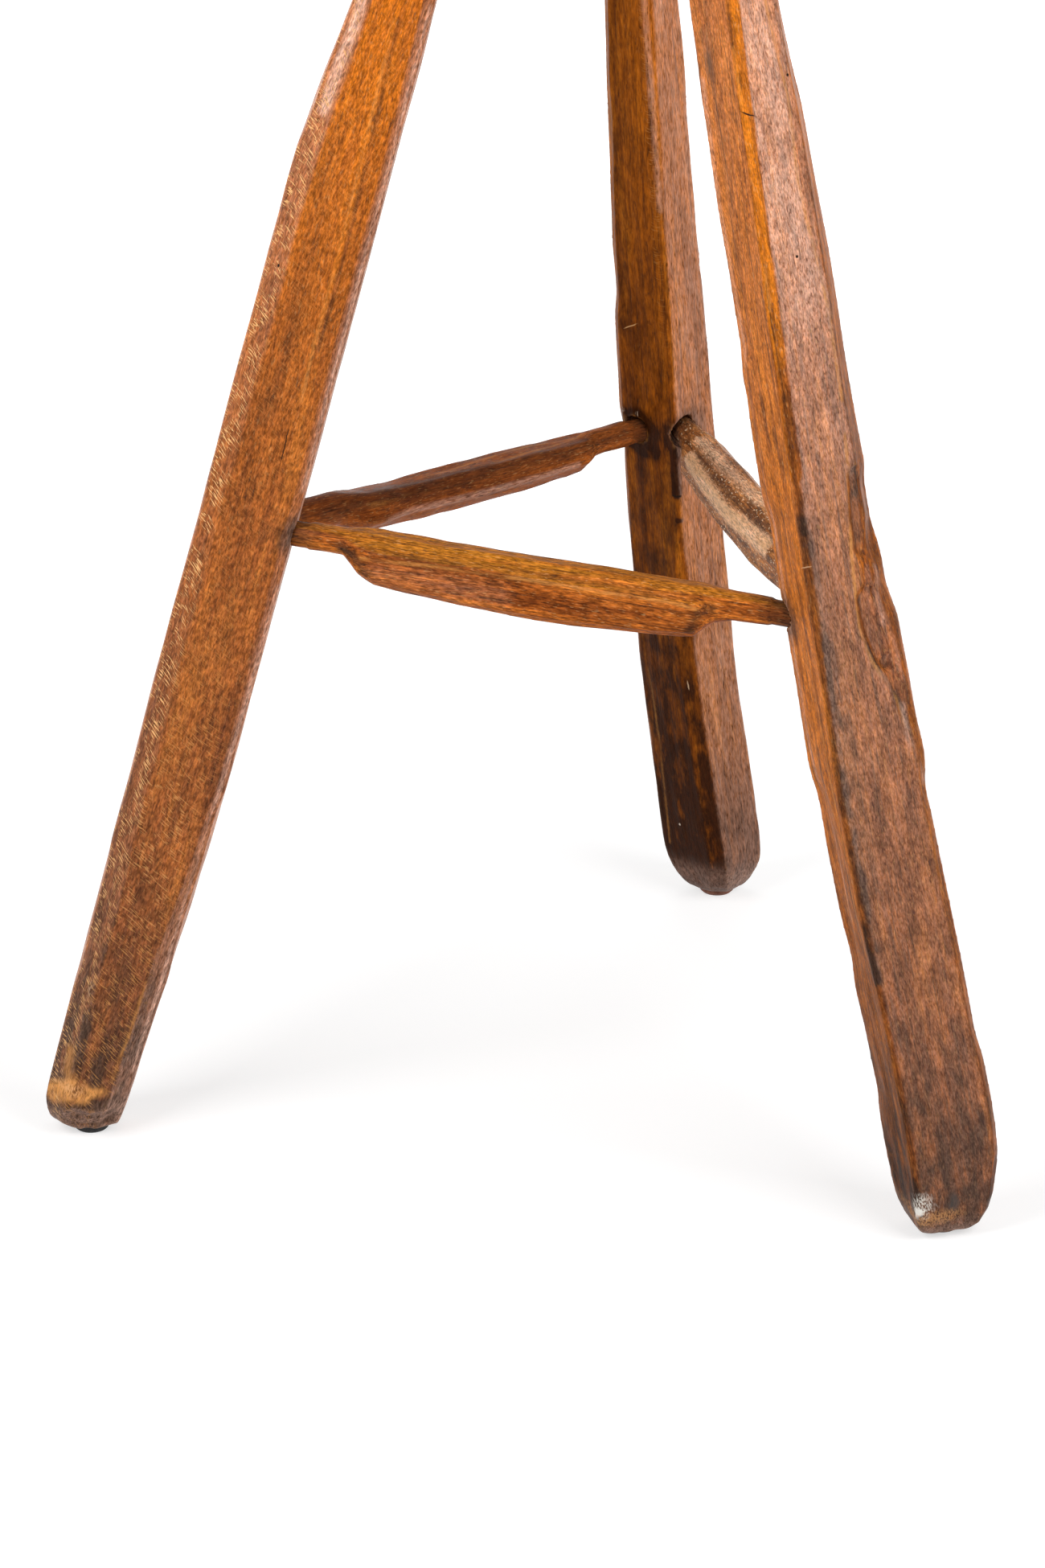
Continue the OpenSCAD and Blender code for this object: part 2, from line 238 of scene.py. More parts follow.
def addNode(tree, kind, inputs=None, **settings):
    node = tree.nodes.new("ShaderNode" + kind)
    for key, value in settings.items():
        setattr(node, key, value)
    for key, value in (inputs or {}).items():
        if isinstance(value, bpy.types.NodeSocket):
            tree.links.new(value, node.inputs[key])
        else:
            node.inputs[key].default_value = value
    return node


def sums(tree, operation, a, b=0.0, clamp=False):
    return addNode(tree, "Math", {0: a, 1: b}, operation=operation, use_clamp=clamp).outputs[0]


def vectors(tree, operation, a, b=(0, 0, 0), output=0):
    return addNode(tree, "VectorMath", {0: a, 1: b}, operation=operation).outputs[output]


def stretch(tree, vector, scale):
    return vectors(tree, "MULTIPLY", vector, scale)


def cloud(tree, vector, detail=2.0, rough=0.5, wander=0.0):
    return addNode(tree, "TexNoise", {"Vector": vector, "Scale": 1.0, "Detail": detail,
                                      "Roughness": rough, "Distortion": wander}).outputs["Fac"]


def between(tree, value, low, high, outLow=0.0, outHigh=1.0):
    return addNode(tree, "MapRange", {"Value": value, "From Min": low, "From Max": high, "To Min": outLow,
                                      "To Max": outHigh}, interpolation_type="SMOOTHSTEP").outputs["Result"]


def blendTone(tree, factor, a, b, mode="MIX"):
    mix = addNode(tree, "Mix", data_type="RGBA", blend_type=mode)
    for key, value in ((0, factor), (6, a), (7, b)):
        if isinstance(value, bpy.types.NodeSocket):
            tree.links.new(value, mix.inputs[key])
        else:
            mix.inputs[key].default_value = value if key == 0 else (*value, 1)
    return mix.outputs[2]


def toneRamp(tree, factor, stops):
    ramp = addNode(tree, "ValToRGB", {"Fac": factor})
    bar = ramp.color_ramp.elements
    while len(bar) < len(stops):
        bar.new(0.5)
    for mark, (place, tone) in zip(bar, stops):
        mark.position = place
        mark.color = (*tone, 1)
    return ramp.outputs["Color"]


def readMask(tree, name, output="Fac"):
    return addNode(tree, "Attribute", attribute_name=name).outputs[output]


def newMaterial(name, gloss, specular=0.3):
    material = bpy.data.materials.new(name)
    material.use_nodes = True
    tree = material.node_tree
    shader = tree.nodes["Principled BSDF"]
    shader.inputs["Specular IOR Level"].default_value = specular
    shader.inputs["Roughness"].default_value = gloss
    return material, tree, shader


def feed(tree, shader, name, socket):
    tree.links.new(socket, shader.inputs[name])


def addBump(tree, shader, height, strength, distance=0.0004):
    bump = addNode(tree, "Bump", {"Strength": strength, "Distance": distance, "Height": height})
    feed(tree, shader, "Normal", bump.outputs["Normal"])


def objectPlace(tree):
    return addNode(tree, "TexCoord").outputs["Object"]


def seenRays(tree):  # 1 for what the camera sees, straight, in a gloss or through glass
    path = addNode(tree, "LightPath")
    seen = sums(tree, "MAXIMUM", path.outputs["Is Camera Ray"], path.outputs["Is Glossy Ray"])
    return sums(tree, "MAXIMUM", seen, path.outputs["Is Transmission Ray"])


# the beech of the stool: stained, waxed and worn, with painted sheen and painted shade in its colour
beech = {
    "dark": (0.150, 0.034, 0.006),
    "russet": (0.290, 0.072, 0.011),
    "orange": (0.420, 0.110, 0.016),
    "honey": (0.560, 0.165, 0.022),
    "amber": (0.500, 0.130, 0.007),
    # pale pink: painted sheen, with some pale wood
    "sheenAndPale": (0.78, 0.47, 0.35),
    # dark tone: dirt, and painted shade towards the foot and on shaded faces
    "dirtAndShade": (0.042, 0.020, 0.012),
    "worn": (0.64, 0.27, 0.065),
    "fleck": (0.82, 0.45, 0.18),
    "pore": (0.060, 0.025, 0.015),
    "line": (0.085, 0.028, 0.008),
    "bodySpan": (24, 24, 170),  # mm across, across and along the grain
    "streakSpan": (2.6, 2.6, 70),
    "lineSpan": (1.4, 1.4, 90),
    "mottleSpan": (3.2, 3.2, 8.0),
    "fibreSpan": (0.9, 0.9, 5.0),
    "poreSpan": (1.2, 1.2, 5.0),
    "fleckSpan": (0.9, 0.9, 3.5),
    "patchSpan": (8, 8, 24),
    "keepSpan": (9, 14),  # mm, tool strokes come in groups of this size
    "bodyRange": (0.27, 0.73),
    "lineEdge": (0.55, 0.68),  # noise at which grain lines begin, and at which they are full
    "poreEdge": (0.57, 0.70),
    "fleckEdge": (0.60, 0.74),
    "wornEdge": (0.30, 0.60),
    "strokeEdge": (0.555, 0.625),
    "keepEdge": (0.40, 0.53),
    "streakDepth": 0.95,
    "lineDepth": 0.50,
    "mottleDepth": 0.35,
    "mottleTint": 0.26,
    "fibreDepth": 0.50,
    "poreDepth": 0.50,
    "fleckDepth": 0.25,
    "specular": 0.035,
    "gloss": (0.32, 0.52),
    "bump": 0.40,
    "raggedScale": 320.0,
}


def stainedBeech(name, changes, marks=()):
    look = {**beech, **changes}
    material, tree, shader = newMaterial(name, 0.45, look["specular"])
    grain = readMask(tree, "grain", "Vector")

    def grainNoise(span, offset, detail, rough=0.55, wander=0.0):
        scaled = stretch(tree, grain, tuple(1 / s for s in span))
        return cloud(tree, vectors(tree, "ADD", scaled, offset), detail, rough, wander)

    def times(a, b, clamp=False):
        return sums(tree, "MULTIPLY", a, b, clamp)

    def ease(value, low, high, outLow=0.0, outHigh=1.0):
        return between(tree, value, low, high, outLow, outHigh)

    def over(factor, under, name):  # lays one of the tones over what is there
        return blendTone(tree, factor, under, look[name])

    def around(value, depth):  # noise about 0, times a depth
        return times(sums(tree, "SUBTRACT", value, 0.5), depth)

    body = grainNoise(look["bodySpan"], (3.1, 7.7, 1.3), 3.0, 0.6, 0.4)
    streak = grainNoise(look["streakSpan"], (11.0, 2.0, 5.0), 3.0)
    lines = grainNoise(look["lineSpan"], (6.0, 4.0, 9.0), 2.0)
    fibre = grainNoise(look["fibreSpan"], (1.0, 9.0, 4.0), 2.0)
    pores = grainNoise(look["poreSpan"], (5.0, 1.5, 8.0), 2.0)
    flecks = grainNoise(look["fleckSpan"], (8.0, 3.0, 2.0), 1.0)
    patches = grainNoise(look["patchSpan"], (2.0, 6.0, 3.0), 4.0, 0.62)
    mottle = grainNoise(look["mottleSpan"], (4.0, 8.0, 6.0), 3.0, 0.6)

    # stain in the body of the wood
    low, high = look["bodyRange"]
    step = (high - low) / 3
    mixed = sums(tree, "ADD", body, around(streak, look["streakDepth"]))
    mixed = sums(tree, "ADD", mixed, around(mottle, look["mottleDepth"]))
    tone = toneRamp(tree, mixed, [(low, look["dark"]), (low + step, look["russet"]),
                                  (low + 2 * step, look["orange"]), (high, look["honey"])])
    tone = over(times(readMask(tree, "amber"), ease(streak, 0.30, 0.66, 0.45, 1.25), True), tone, "amber")
    lineFactor = times(ease(lines, *look["lineEdge"]), look["lineDepth"])
    tone = over(lineFactor, tone, "line")

    # dirt and painted shade, then the pale layer: painted sheen, with some pale wood
    dirtAndShadeMask = readMask(tree, "dirtAndShade")
    tone = over(times(dirtAndShadeMask, ease(patches, 0.25, 0.75, 0.60, 1.40), True), tone, "dirtAndShade")
    sheenAndPale = times(readMask(tree, "sheenAndPale"), ease(patches, 0.25, 0.75, 1.3, 0.7), True)
    tone = over(times(sheenAndPale, ease(pores, 0.66, 0.44, 0.50, 1.0)), tone, "sheenAndPale")

    # fibres, pores and rays
    fibreTint = ease(fibre, 0.28, 0.72, 1 - look["fibreDepth"], 1 + look["fibreDepth"])
    mottleTint = ease(mottle, 0.30, 0.70, 1 - look["mottleTint"], 1 + look["mottleTint"])
    tint = times(fibreTint, mottleTint)
    grey = addNode(tree, "CombineColor", {0: tint, 1: tint, 2: tint}).outputs[0]
    tone = blendTone(tree, 1.0, tone, grey, "MULTIPLY")
    poreFactor = times(ease(pores, *look["poreEdge"]), look["poreDepth"])
    poreFactor = times(poreFactor, ease(patches, 0.40, 0.66, 0.35, 1.5), True)
    tone = over(poreFactor, tone, "pore")
    fleckFactor = times(ease(flecks, *look["fleckEdge"]), look["fleckDepth"])
    tone = over(times(fleckFactor, ease(dirtAndShadeMask, 0.2, 0.8, 1.0, 0.3)), tone, "fleck")
    height = sums(tree, "ADD", times(fibre, 0.5), times(streak, 0.8))
    height = sums(tree, "SUBTRACT", height, sums(tree, "ADD", poreFactor, lineFactor))
    worn = times(readMask(tree, "worn"), ease(patches, *look["wornEdge"]))
    tone = over(times(worn, ease(fibre, 0.25, 0.6, 0.45, 1.0)), tone, "worn")

    if "raspSpan" in look:  # light tool strokes, short and in rows
        rasp, raspHere = readMask(tree, "rasp", "Vector"), readMask(tree, "raspHere")
        strokes = cloud(tree, stretch(tree, rasp, tuple(1 / s for s in look["raspSpan"])), 1.0, 0.4)
        keep = cloud(tree, stretch(tree, rasp, (1 / look["keepSpan"][0], 1 / look["keepSpan"][1], 0)), 2.0)
        strokeFactor = times(ease(strokes, *look["strokeEdge"]), ease(keep, *look["keepEdge"]))
        strokeFactor = times(strokeFactor, raspHere)
        strokeTone = blendTone(tree, ease(raspHere, 0.25, 0.6), look["worn"], look["fleck"])
        tone = blendTone(tree, strokeFactor, tone, strokeTone)
        height = sums(tree, "SUBTRACT", height, times(strokeFactor, 0.8))

    # single marks with ragged edges
    here = objectPlace(tree)
    ragged = addNode(tree, "TexNoise", {"Vector": here, "Scale": look["raggedScale"], "Detail": 3.0})
    ragged = vectors(tree, "SUBTRACT", ragged.outputs["Color"], (0.5, 0.5, 0.5))
    for place, markTone, strength, soft, blur, dip, broken in marks:
        moved = addNode(tree, "VectorMath", {0: ragged, 1: (blur / 1000,) * 3, 2: here},
                        operation="MULTIPLY_ADD").outputs[0]
        local = addNode(tree, "Mapping", {"Vector": moved, **place}, vector_type="TEXTURE").outputs[0]
        reach = vectors(tree, "LENGTH", local, output="Value")
        factor = times(ease(reach, 1.0, 1.0 - soft), strength)
        if broken:
            factor = times(factor, ease(fibre, 0.40, 0.58))
        tone = blendTone(tree, factor, tone, markTone)
        if dip:
            height = sums(tree, "SUBTRACT", height, times(factor, dip))

    feed(tree, shader, "Base Color", tone)
    dull = sums(tree, "ADD", fibre, times(poreFactor, 0.4))
    feed(tree, shader, "Roughness", ease(dull, 0.3, 0.8, *look["gloss"]))
    addBump(tree, shader, height, look["bump"])
    return material


def markAt(node, pixel, along, size):  # a mark lying on a solid where the photograph shows it
    point, normal = seenAt(node, pixel)
    ahead = seenAt(node, along)[0] - point
    ahead = (ahead - normal * ahead.dot(normal)).normalized()
    turn = Matrix((ahead, normal.cross(ahead), normal)).transposed().to_euler()
    deep = max(size) * 1.5 + 2  # reaches through the unevenness of the wood
    return {"Location": tuple(point), "Rotation": tuple(turn), "Scale": tuple(s / 1000 for s in (*size, deep))}


# rows of tool strokes: mm round the leg from where they start, heights in m
leftRows = {
    "turnAt": 20,
    "curve": (-0.36, 0.0278),  # of a stroke up to there
    "slope": (3.92, 0.75),  # and where it goes on from there
    "from": (-14, -4),
    "to": (48, 62),
    "band": 14,
    "bandFade": (5, 12),
    "broad": (0.14, 0.42),  # strength on the broad face, and how much more near the foot
    "broadFade": (0.12, 0.32),
    "topLess": 0.4,
    "topFade": (0.54, 0.62),
    "footLess": 0.35,
    "footFade": (0.10, 0.24),
}
backRows = {"ridge": (1.5, 4.0), "heights": (0.34, 0.45), "strength": 0.34, "cup": 0.10}


def leftRasp(girth, along, height):  # strokes lie level on the left band and turn down across the broad face
    rows = leftRows
    past = girth - rows["turnAt"]
    bend = np.where(past < 0, rows["curve"][0] * girth + rows["curve"][1] * girth ** 2,
                    rows["slope"][0] + rows["slope"][1] * past)
    here = softStep(girth, *rows["from"]) * (1 - softStep(girth, *rows["to"]))
    band = 1 - softStep(np.abs(girth - rows["band"]), *rows["bandFade"])
    broad = rows["broad"][0] + rows["broad"][1] * (1 - softStep(height, *rows["broadFade"]))
    here = here * (broad + (1 - broad) * band) * (1 - rows["topLess"] * softStep(height, *rows["topFade"]))
    here = here * (1 - rows["footLess"] + rows["footLess"] * softStep(height, *rows["footFade"]))
    return np.stack([girth, along + bend, np.zeros(len(girth))], 1), here


def backRasp(girth, along, height):  # small cupped strokes on the ridge
    rows = backRows
    here = (1 - softStep(np.abs(girth), *rows["ridge"])) * softStep(height, *rows["heights"]) * rows["strength"]
    return np.stack([girth, along - rows["cup"] * girth ** 2, np.zeros(len(girth))], 1), here


# legs, each carved from its own billet
# faces: azimuth and width in degrees, then strength at the top, the middle and the foot; the sheen faces paint sheen,
# and the shade faces paint shade that deepens towards the foot, with some stain in it
# strokes: mask, line of photograph pixels, half width in mm, the share of it that fades, strength
# grooves: line of photograph pixels, half width and depth in mm (below 0 it swells), flat share of the width
# marks: photograph pixel, another that it points to, half sizes in mm, tone,
# strength, the share that fades, raggedness in mm, dip, broken by the grain or not
legCarve = {  # what the three legs share
    "voxel": 0.0012,
    "dentSpans": ((34, 34, 120), (9, 9, 40)),  # mm across, across and along
    "fineDents": 0.45,
    "softSpread": 6,
    "nicks": 26,
    "nickSize": (0.003, 0.007),
    "nickDepth": (0.0002, 0.0006),
    "nickLong": 1.8,  # times as long as wide
    "nickBend": (40, 130),  # bends in 1/m: none below the first, all above the second
    "wornBend": (60, 200),
    "hollowBend": (20, 90),
    "faceHeights": (0.03, 0.35, 0.66),  # of the foot, the middle and the top
    "arrisWorn": 0.75,
    "jointStain": 0.75,
    "jointFade": (0.001, 0.012),
    "jointReach": 0.03,
    "hollowStain": 0.5,
    # faces that look down near the floor: painted shade, with a little of the pale layer
    "soleShade": 0.45,
    "solePale": 0.22,
    "soleFacing": (0.10, 0.50),
    "soleFade": (0.020, 0.035),
    "tenonStain": 0.25,
    "middleLevels": (0.02, 0.012),  # first height and step of the rings that give the middle line
    "ringReach": 0.004,
    "neck": (0.012, 0.004),  # below the seat: carving fades out from the first to the second
    "overlap": 0.001,  # of the carved leg and its tenon
    "girthRadius": 25,  # mm, turns an angle into a length round the leg
    "raspSpan": (5.4, 0.80, 1.0),
}
bareHole = (0.02, 0.012, 0.008)  # tone inside old pinholes

orangeLine = [(490, 24), (468, 119), (440, 238), (416, 337), (389, 436), (375, 500)]
soleLine = [(62, 1384), (100, 1386), (140, 1378)]
leftLeg = {
    "node": "leg_left",
    "seed": 11,
    "softArris": (236, 40, 40),  # azimuth of the band, its width in degrees, smoothing rounds
    "soften": (0.02, 0.07, 0.51, 0.57),  # heights: begins, full, full, ends
    "sheenAndPaleFaces": [(239, 30, 0.22, 0.06, 0.12), (204, 16, 0.45, 0.40, 0.40), (329, 26, 0.20, 0.13, 0.24),
                   (284, 30, 0.0, 0.02, 0.05), (8, 18, 0.5, 0.5, 0.5), (30, 40, 0.2, 0.2, 0.15)],
    "dirtAndShadeFaces": [(284, 34, -0.20, 0.35, 0.52), (239, 30, 0.05, 0.22, 0.64), (329, 26, 0.1, 0.20, 0.56)],
    "amberFaces": [(284, 30, 0.90, 0.18, -0.1), (239, 30, 0.10, 0.20, 0.0), (329, 26, 0.25, 0.25, 0.0)],
    "footDirtAndShade": (0.02, 0.16, 0.30),  # dark below: painted shade with dirt, fades out at, strength
    "raspFrom": 195.7,
    "uneven": 0.00035,
    "wood": {"streakDepth": 0.55, "lineDepth": 0.15, "mottleSpan": (2.0, 2.0, 4.0), "mottleTint": 0.24,
             "fibreSpan": (0.85, 0.85, 2.6), "fibreDepth": 0.42, "fleckDepth": 0.15, "worn": (0.72, 0.31, 0.085)},
    "strokes": [
        ("sheenAndPale", [(450, 0), (443, 27), (431, 54), (421, 80), (412, 107),
         (402, 134)], 5.5, 0.5, 0.55),  # pale facet under the seat: painted sheen
        ("amber", orangeLine, 2.2, 0.7, 0.7),  # orange line beside the inner bevel
        ("worn", orangeLine, 1.4, 0.8, 0.35),
        ("dirtAndShade", [(497, 24), (475, 119), (447, 238), (423, 337), (396, 436)], 1.8, 0.7, 0.55),
        ("dirtAndShade", [(424, 160), (400, 230), (386, 330), (360, 420), (330, 520)], 9, 1.0, 0.18),
        ("sheenAndPale", [(536, 10), (504, 130), (472, 250), (441, 370), (409, 490),
         (377, 610)], 2.4, 0.7, 0.38),  # pale strip on the inner side
        ("sheenAndPale", [(346, 730), (313, 850), (278, 970), (242, 1090), (204, 1210), (166, 1330)], 2.2, 0.7, 0.40),
        ("worn", [(66, 1357), (82, 1357), (100, 1360)], 8.4, 0.8, 1.35),  # rubbed heel
        ("worn", [(88, 1306), (84, 1330), (92, 1348)], 6, 1.0, 0.6),
        ("worn", [(100, 1358), (114, 1360), (127, 1358)], 4.2, 0.9, 0.9),
        ("worn", [(140, 1343), (144, 1331), (150, 1314), (163, 1283), (168, 1266), (181, 1222)], 1.4, 0.8, 0.5),
        ("dirtAndShade", [(106, 1268), (102, 1310)], 9, 1.0, 0.30),
        ("dirtAndShade", soleLine, 8, 0.6, 0.80),
        ("sheenAndPale", soleLine, 8, 0.6, 0.03),
    ],
    "grooves": [
        ([(262, 1020), (250, 1060), (237, 1100), (225, 1140), (213, 1180)], 20, 1.5, 0),  # slimmer above the foot
        ([(131, 1080), (121, 1120), (110, 1160), (100, 1200)], 18, 1.3, 0),
        ([(96, 1398), (112, 1401), (129, 1398)], 11, 4, 0.40),  # sole cut back in front of the glide
    ],
    "marks": [
        ((346, 330), (346, 334), (1.1, 1.1), bareHole, 1.0, 0.5, 0.3, 2.0, 0),
        ((354, 555), (347, 585), (13, 0.4), (0.03, 0.014, 0.008), 1.0, 0.5, 1.2, 1.0, 0),
        ((105, 1282), (102, 1300), (7, 2.4), (0.05, 0.030, 0.020), 0.55, 0.9, 7, 0, 0),
        ((112, 1230), (104, 1258), (6, 3), (0.40, 0.26, 0.16), 0.6, 0.8, 5, 0, 1),
        ((86, 1354), (110, 1360), (12, 6), (0.80, 0.42, 0.19), 0.65, 0.9, 9, 0, 1),
        ((152, 1281), (152, 1285), (2.2, 1.8), (0.05, 0.028, 0.016), 0.7, 0.8, 2, 0, 0),
    ],
    "rasp": leftRasp,
}

bevelLine = [(957, 0), (970, 60), (985, 115), (1003, 231), (1019, 300), (1038, 388), (1054, 497)]
rightLeg = {
    "node": "leg_right",
    "seed": 23,
    "twist": ((0, -8), (0.255, -4), (0.56, 10), (0.703, 21)),  # height and turn of the faces
    "sheenAndPaleFaces": [(312, 30, 0.68, 0.21, 0.10), (222, 26, 0.14, 0.05, 0.0), (180, 26, 0.5, 0.4, 0.2),
                   (30, 40, 0.3, 0.2, 0.15)],
    "dirtAndShadeFaces": [(312, 32, -0.14, 0.46, 0.56), (222, 30, 0.05, -0.12, 0.58),
                  (264, 30, 0.0, 0.06, 0.62), (357, 26, 0.1, 0.42, 0.5)],
    "amberFaces": [(267, 24, 1.0, 0.25, 0.0), (222, 30, 0.45, 0.70, 0.25), (357, 24, 0.4, 0.2, 0.0)],
    "footDirtAndShade": (0.02, 0.16, 0.26),
    "uneven": 0.0004,
    "wood": {"streakDepth": 1.1, "lineDepth": 0.70, "lineSpan": (1.2, 1.2, 70), "fibreSpan": (0.7, 0.7, 2.2),
             "fibreDepth": 0.32, "mottleTint": 0.22, "poreSpan": (1.0, 1.0, 2.6), "poreDepth": 0.55,
             "pore": (0.080, 0.040, 0.034), "amber": (0.60, 0.170, 0.012)},
    "strokes": [
        ("sheenAndPale", bevelLine, 4.2, 0.3, -0.24),  # stained bevel on the right
        ("amber", bevelLine, 4.2, 0.3, 0.16),
        ("worn", [(951, 0), (965, 60), (979, 115), (993, 231), (1010, 300), (1031, 388),
         (1048, 497)], 1.4, 0.8, 0.6),  # its light arris
        ("amber", [(912, 0), (926, 115), (942, 231), (951, 300), (962, 388),
         (970, 450)], 3.4, 0.3, 0.9),  # the amber ridge
        ("sheenAndPale", [(912, 0), (926, 115), (942, 231), (951, 300), (962, 388), (976, 497), (990, 590)], 3.6, 0.3, -0.9),
        ("worn", [(912, 58), (920, 115), (936, 231), (947, 300), (958, 388)], 1.1, 0.8, 0.5),
        ("dirtAndShade", [(905, 0), (911, 58)], 1.2, 0.8, 0.7),
        ("dirtAndShade", [(951, 330), (962, 400), (976, 497)], 1.8, 0.8, 0.45),
        ("dirtAndShade", [(976, 497), (988, 580), (998, 660)], 4.2, 0.7, 0.45),
        ("dirtAndShade", [(955, 135), (966, 165), (975, 194)], 7, 1.0, 0.26),  # smudges
        ("dirtAndShade", [(930, 48), (952, 56)], 6, 1.0, 0.18),
        ("dirtAndShade", [(1000, 640), (1018, 732), (1040, 836), (1057, 939), (1074, 1034), (1088, 1100)], 9, 1.0, 0.20),
        ("worn", [(990, 620), (1011, 751), (1030, 874), (1047, 997), (1070, 1120), (1085, 1200),
         (1096, 1270)], 6, 0.3, -0.9),  # dark ridge lower down
        ("dirtAndShade", [(996, 650), (1013, 751), (1032, 874), (1050, 997), (1073, 1120), (1090, 1220)], 5.2, 0.7, 0.48),
        ("worn", [(1002, 815), (1016, 880), (1028, 945), (1040, 1010), (1051, 1060), (1062, 1120),
         (1076, 1190)], 1.1, 0.8, 0.6),
        ("dirtAndShade", [(876, 0), (884, 60), (893, 150), (908, 260),
         (922, 360)], 3.5, 0.9, 0.36),  # long stains on the left face
        ("dirtAndShade", [(872, 40), (880, 75), (886, 95)], 4.5, 0.9, 0.4),
        ("sheenAndPale", [(1068, 600), (1072, 650), (1078, 690)], 6, 0.3, -0.14),
        ("sheenAndPale", [(1080, 700), (1086, 730), (1093, 780), (1103, 815)], 8.5, 0.3, -0.07),
        ("sheenAndPale", [(1108, 830), (1122, 866), (1134, 905)], 4.5, 0.3, -0.10),
        ("dirtAndShade", [(1064, 583), (1066, 612)], 3.6, 0.9, 0.66),  # gouged hollows
        ("dirtAndShade", [(1065, 617), (1067, 645), (1071, 675)], 4.6, 0.9, 0.46),
        ("dirtAndShade", [(1080, 690), (1084, 705), (1088, 736)], 3, 0.9, 0.36),
        ("dirtAndShade", [(1076, 746), (1086, 775), (1096, 802)], 5, 0.9, 0.42),
        ("dirtAndShade", [(1074, 690), (1084, 740), (1094, 785), (1110, 830)], 8.5, 0.5, -0.22),
        ("dirtAndShade", [(1072, 752), (1077, 786), (1083, 814), (1092, 832), (1102, 848), (1120, 878), (1128, 906),
         (1134, 934)], 2, 0.8, 0.75),
        ("worn", [(1052, 540), (1057, 617), (1060, 700), (1065, 740)], 1.4, 0.7, 0.7),  # their light lips
        ("worn", [(1065, 740), (1070, 780), (1079, 811), (1096, 842), (1113, 867), (1124, 903),
         (1130, 937)], 1.4, 0.7, 0.6),
        ("amber", [(1070, 690), (1073, 738)], 4, 0.8, 0.50),
        ("amber", [(1090, 690), (1103, 740), (1112, 780)], 3, 0.9, 0.30),
        ("sheenAndPale", [(1090, 705), (1093, 740), (1100, 775)], 2.8, 0.9, 0.36),
        ("sheenAndPale", [(1136, 880), (1143, 920), (1149, 970)], 3, 0.8, 0.35),
        ("worn", [(1090, 1180), (1107, 1253), (1118, 1296), (1128, 1350), (1138, 1422), (1145, 1460)], 6, 0.4, -0.68),
        ("sheenAndPale", [(975, 240), (988, 310), (1004, 390)], 20, 1.0, 0.15),
        ("sheenAndPale", [(873, 100), (895, 254), (922, 408), (949, 562), (972, 715), (991, 831), (1018, 980), (1036, 1040),
         (1057, 1145)], 2.2, 0.7, 0.28),  # pale strip along the left side
    ],
    "grooves": [
        ([(1079, 603), (1087, 640), (1095, 680)], 14, 2.2, 0),
        ([(1110, 770), (1131, 850), (1141, 910), (1145, 940)], 22, -2.6, 0),  # swelling below the gouges
        ([(1218, 1325), (1226, 1360), (1231, 1400), (1233, 1430)], 20, -1.8, 0),  # knuckle above the foot
        ([(934, 470), (942, 520), (949, 570), (955, 610)], 20, -2, 0),  # fuller left side
        ([(1021, 1000), (1034, 1060), (1044, 1110), (1055, 1160), (1060, 1185)], 22, 1.8, 0),
        ([(1100, 1390), (1107, 1430), (1113, 1465)], 20, -1.6, 0),
        ([(1067, 592), (1069, 640), (1074, 680)], 6.5, 1.7, 0.45),
        ([(1082, 690), (1086, 732)], 6, 1.1, 0.3),
        ([(1083, 745), (1093, 785), (1104, 815)], 9, 2.1, 0.5),
        ([(1106, 822), (1119, 858), (1130, 895)], 6, 1.5, 0.4),
    ],
    "marks": [
        ((930, 142), (941, 145), (5, 0.5), (0.03, 0.015, 0.010), 1.0, 0.5, 1, 1.5, 0),
        ((980, 93), (980, 97), (1, 1), bareHole, 1.0, 0.5, 0.3, 2.0, 0),
        ((991, 319), (991, 323), (1, 1), bareHole, 1.0, 0.5, 0.3, 2.0, 0),
        ((881, 80), (881, 84), (11, 4), (0.16, 0.085, 0.050), 0.7, 0.8, 4, 0, 0),
        ((1145, 1503), (1145, 1507), (10.5, 7.5), (0.80, 0.76, 0.68), 0.9, 0.8, 9, 0, 1),
        ((1143, 1508), (1143, 1512), (4.5, 2.8), (0.86, 0.83, 0.77), 0.95, 0.6, 6, 0, 0),
        ((1187, 1497), (1187, 1501), (9, 4), (0.07, 0.06, 0.055), 0.8, 0.7, 4, 0, 0),
        ((1160, 1517), (1190, 1510), (22, 6), (0.55, 0.27, 0.10), 0.7, 0.7, 6, 0, 1),
        ((1002, 706), (1010, 704), (4, 0.4), (0.70, 0.44, 0.25), 0.6, 0.5, 1, 0, 0),
    ],
}

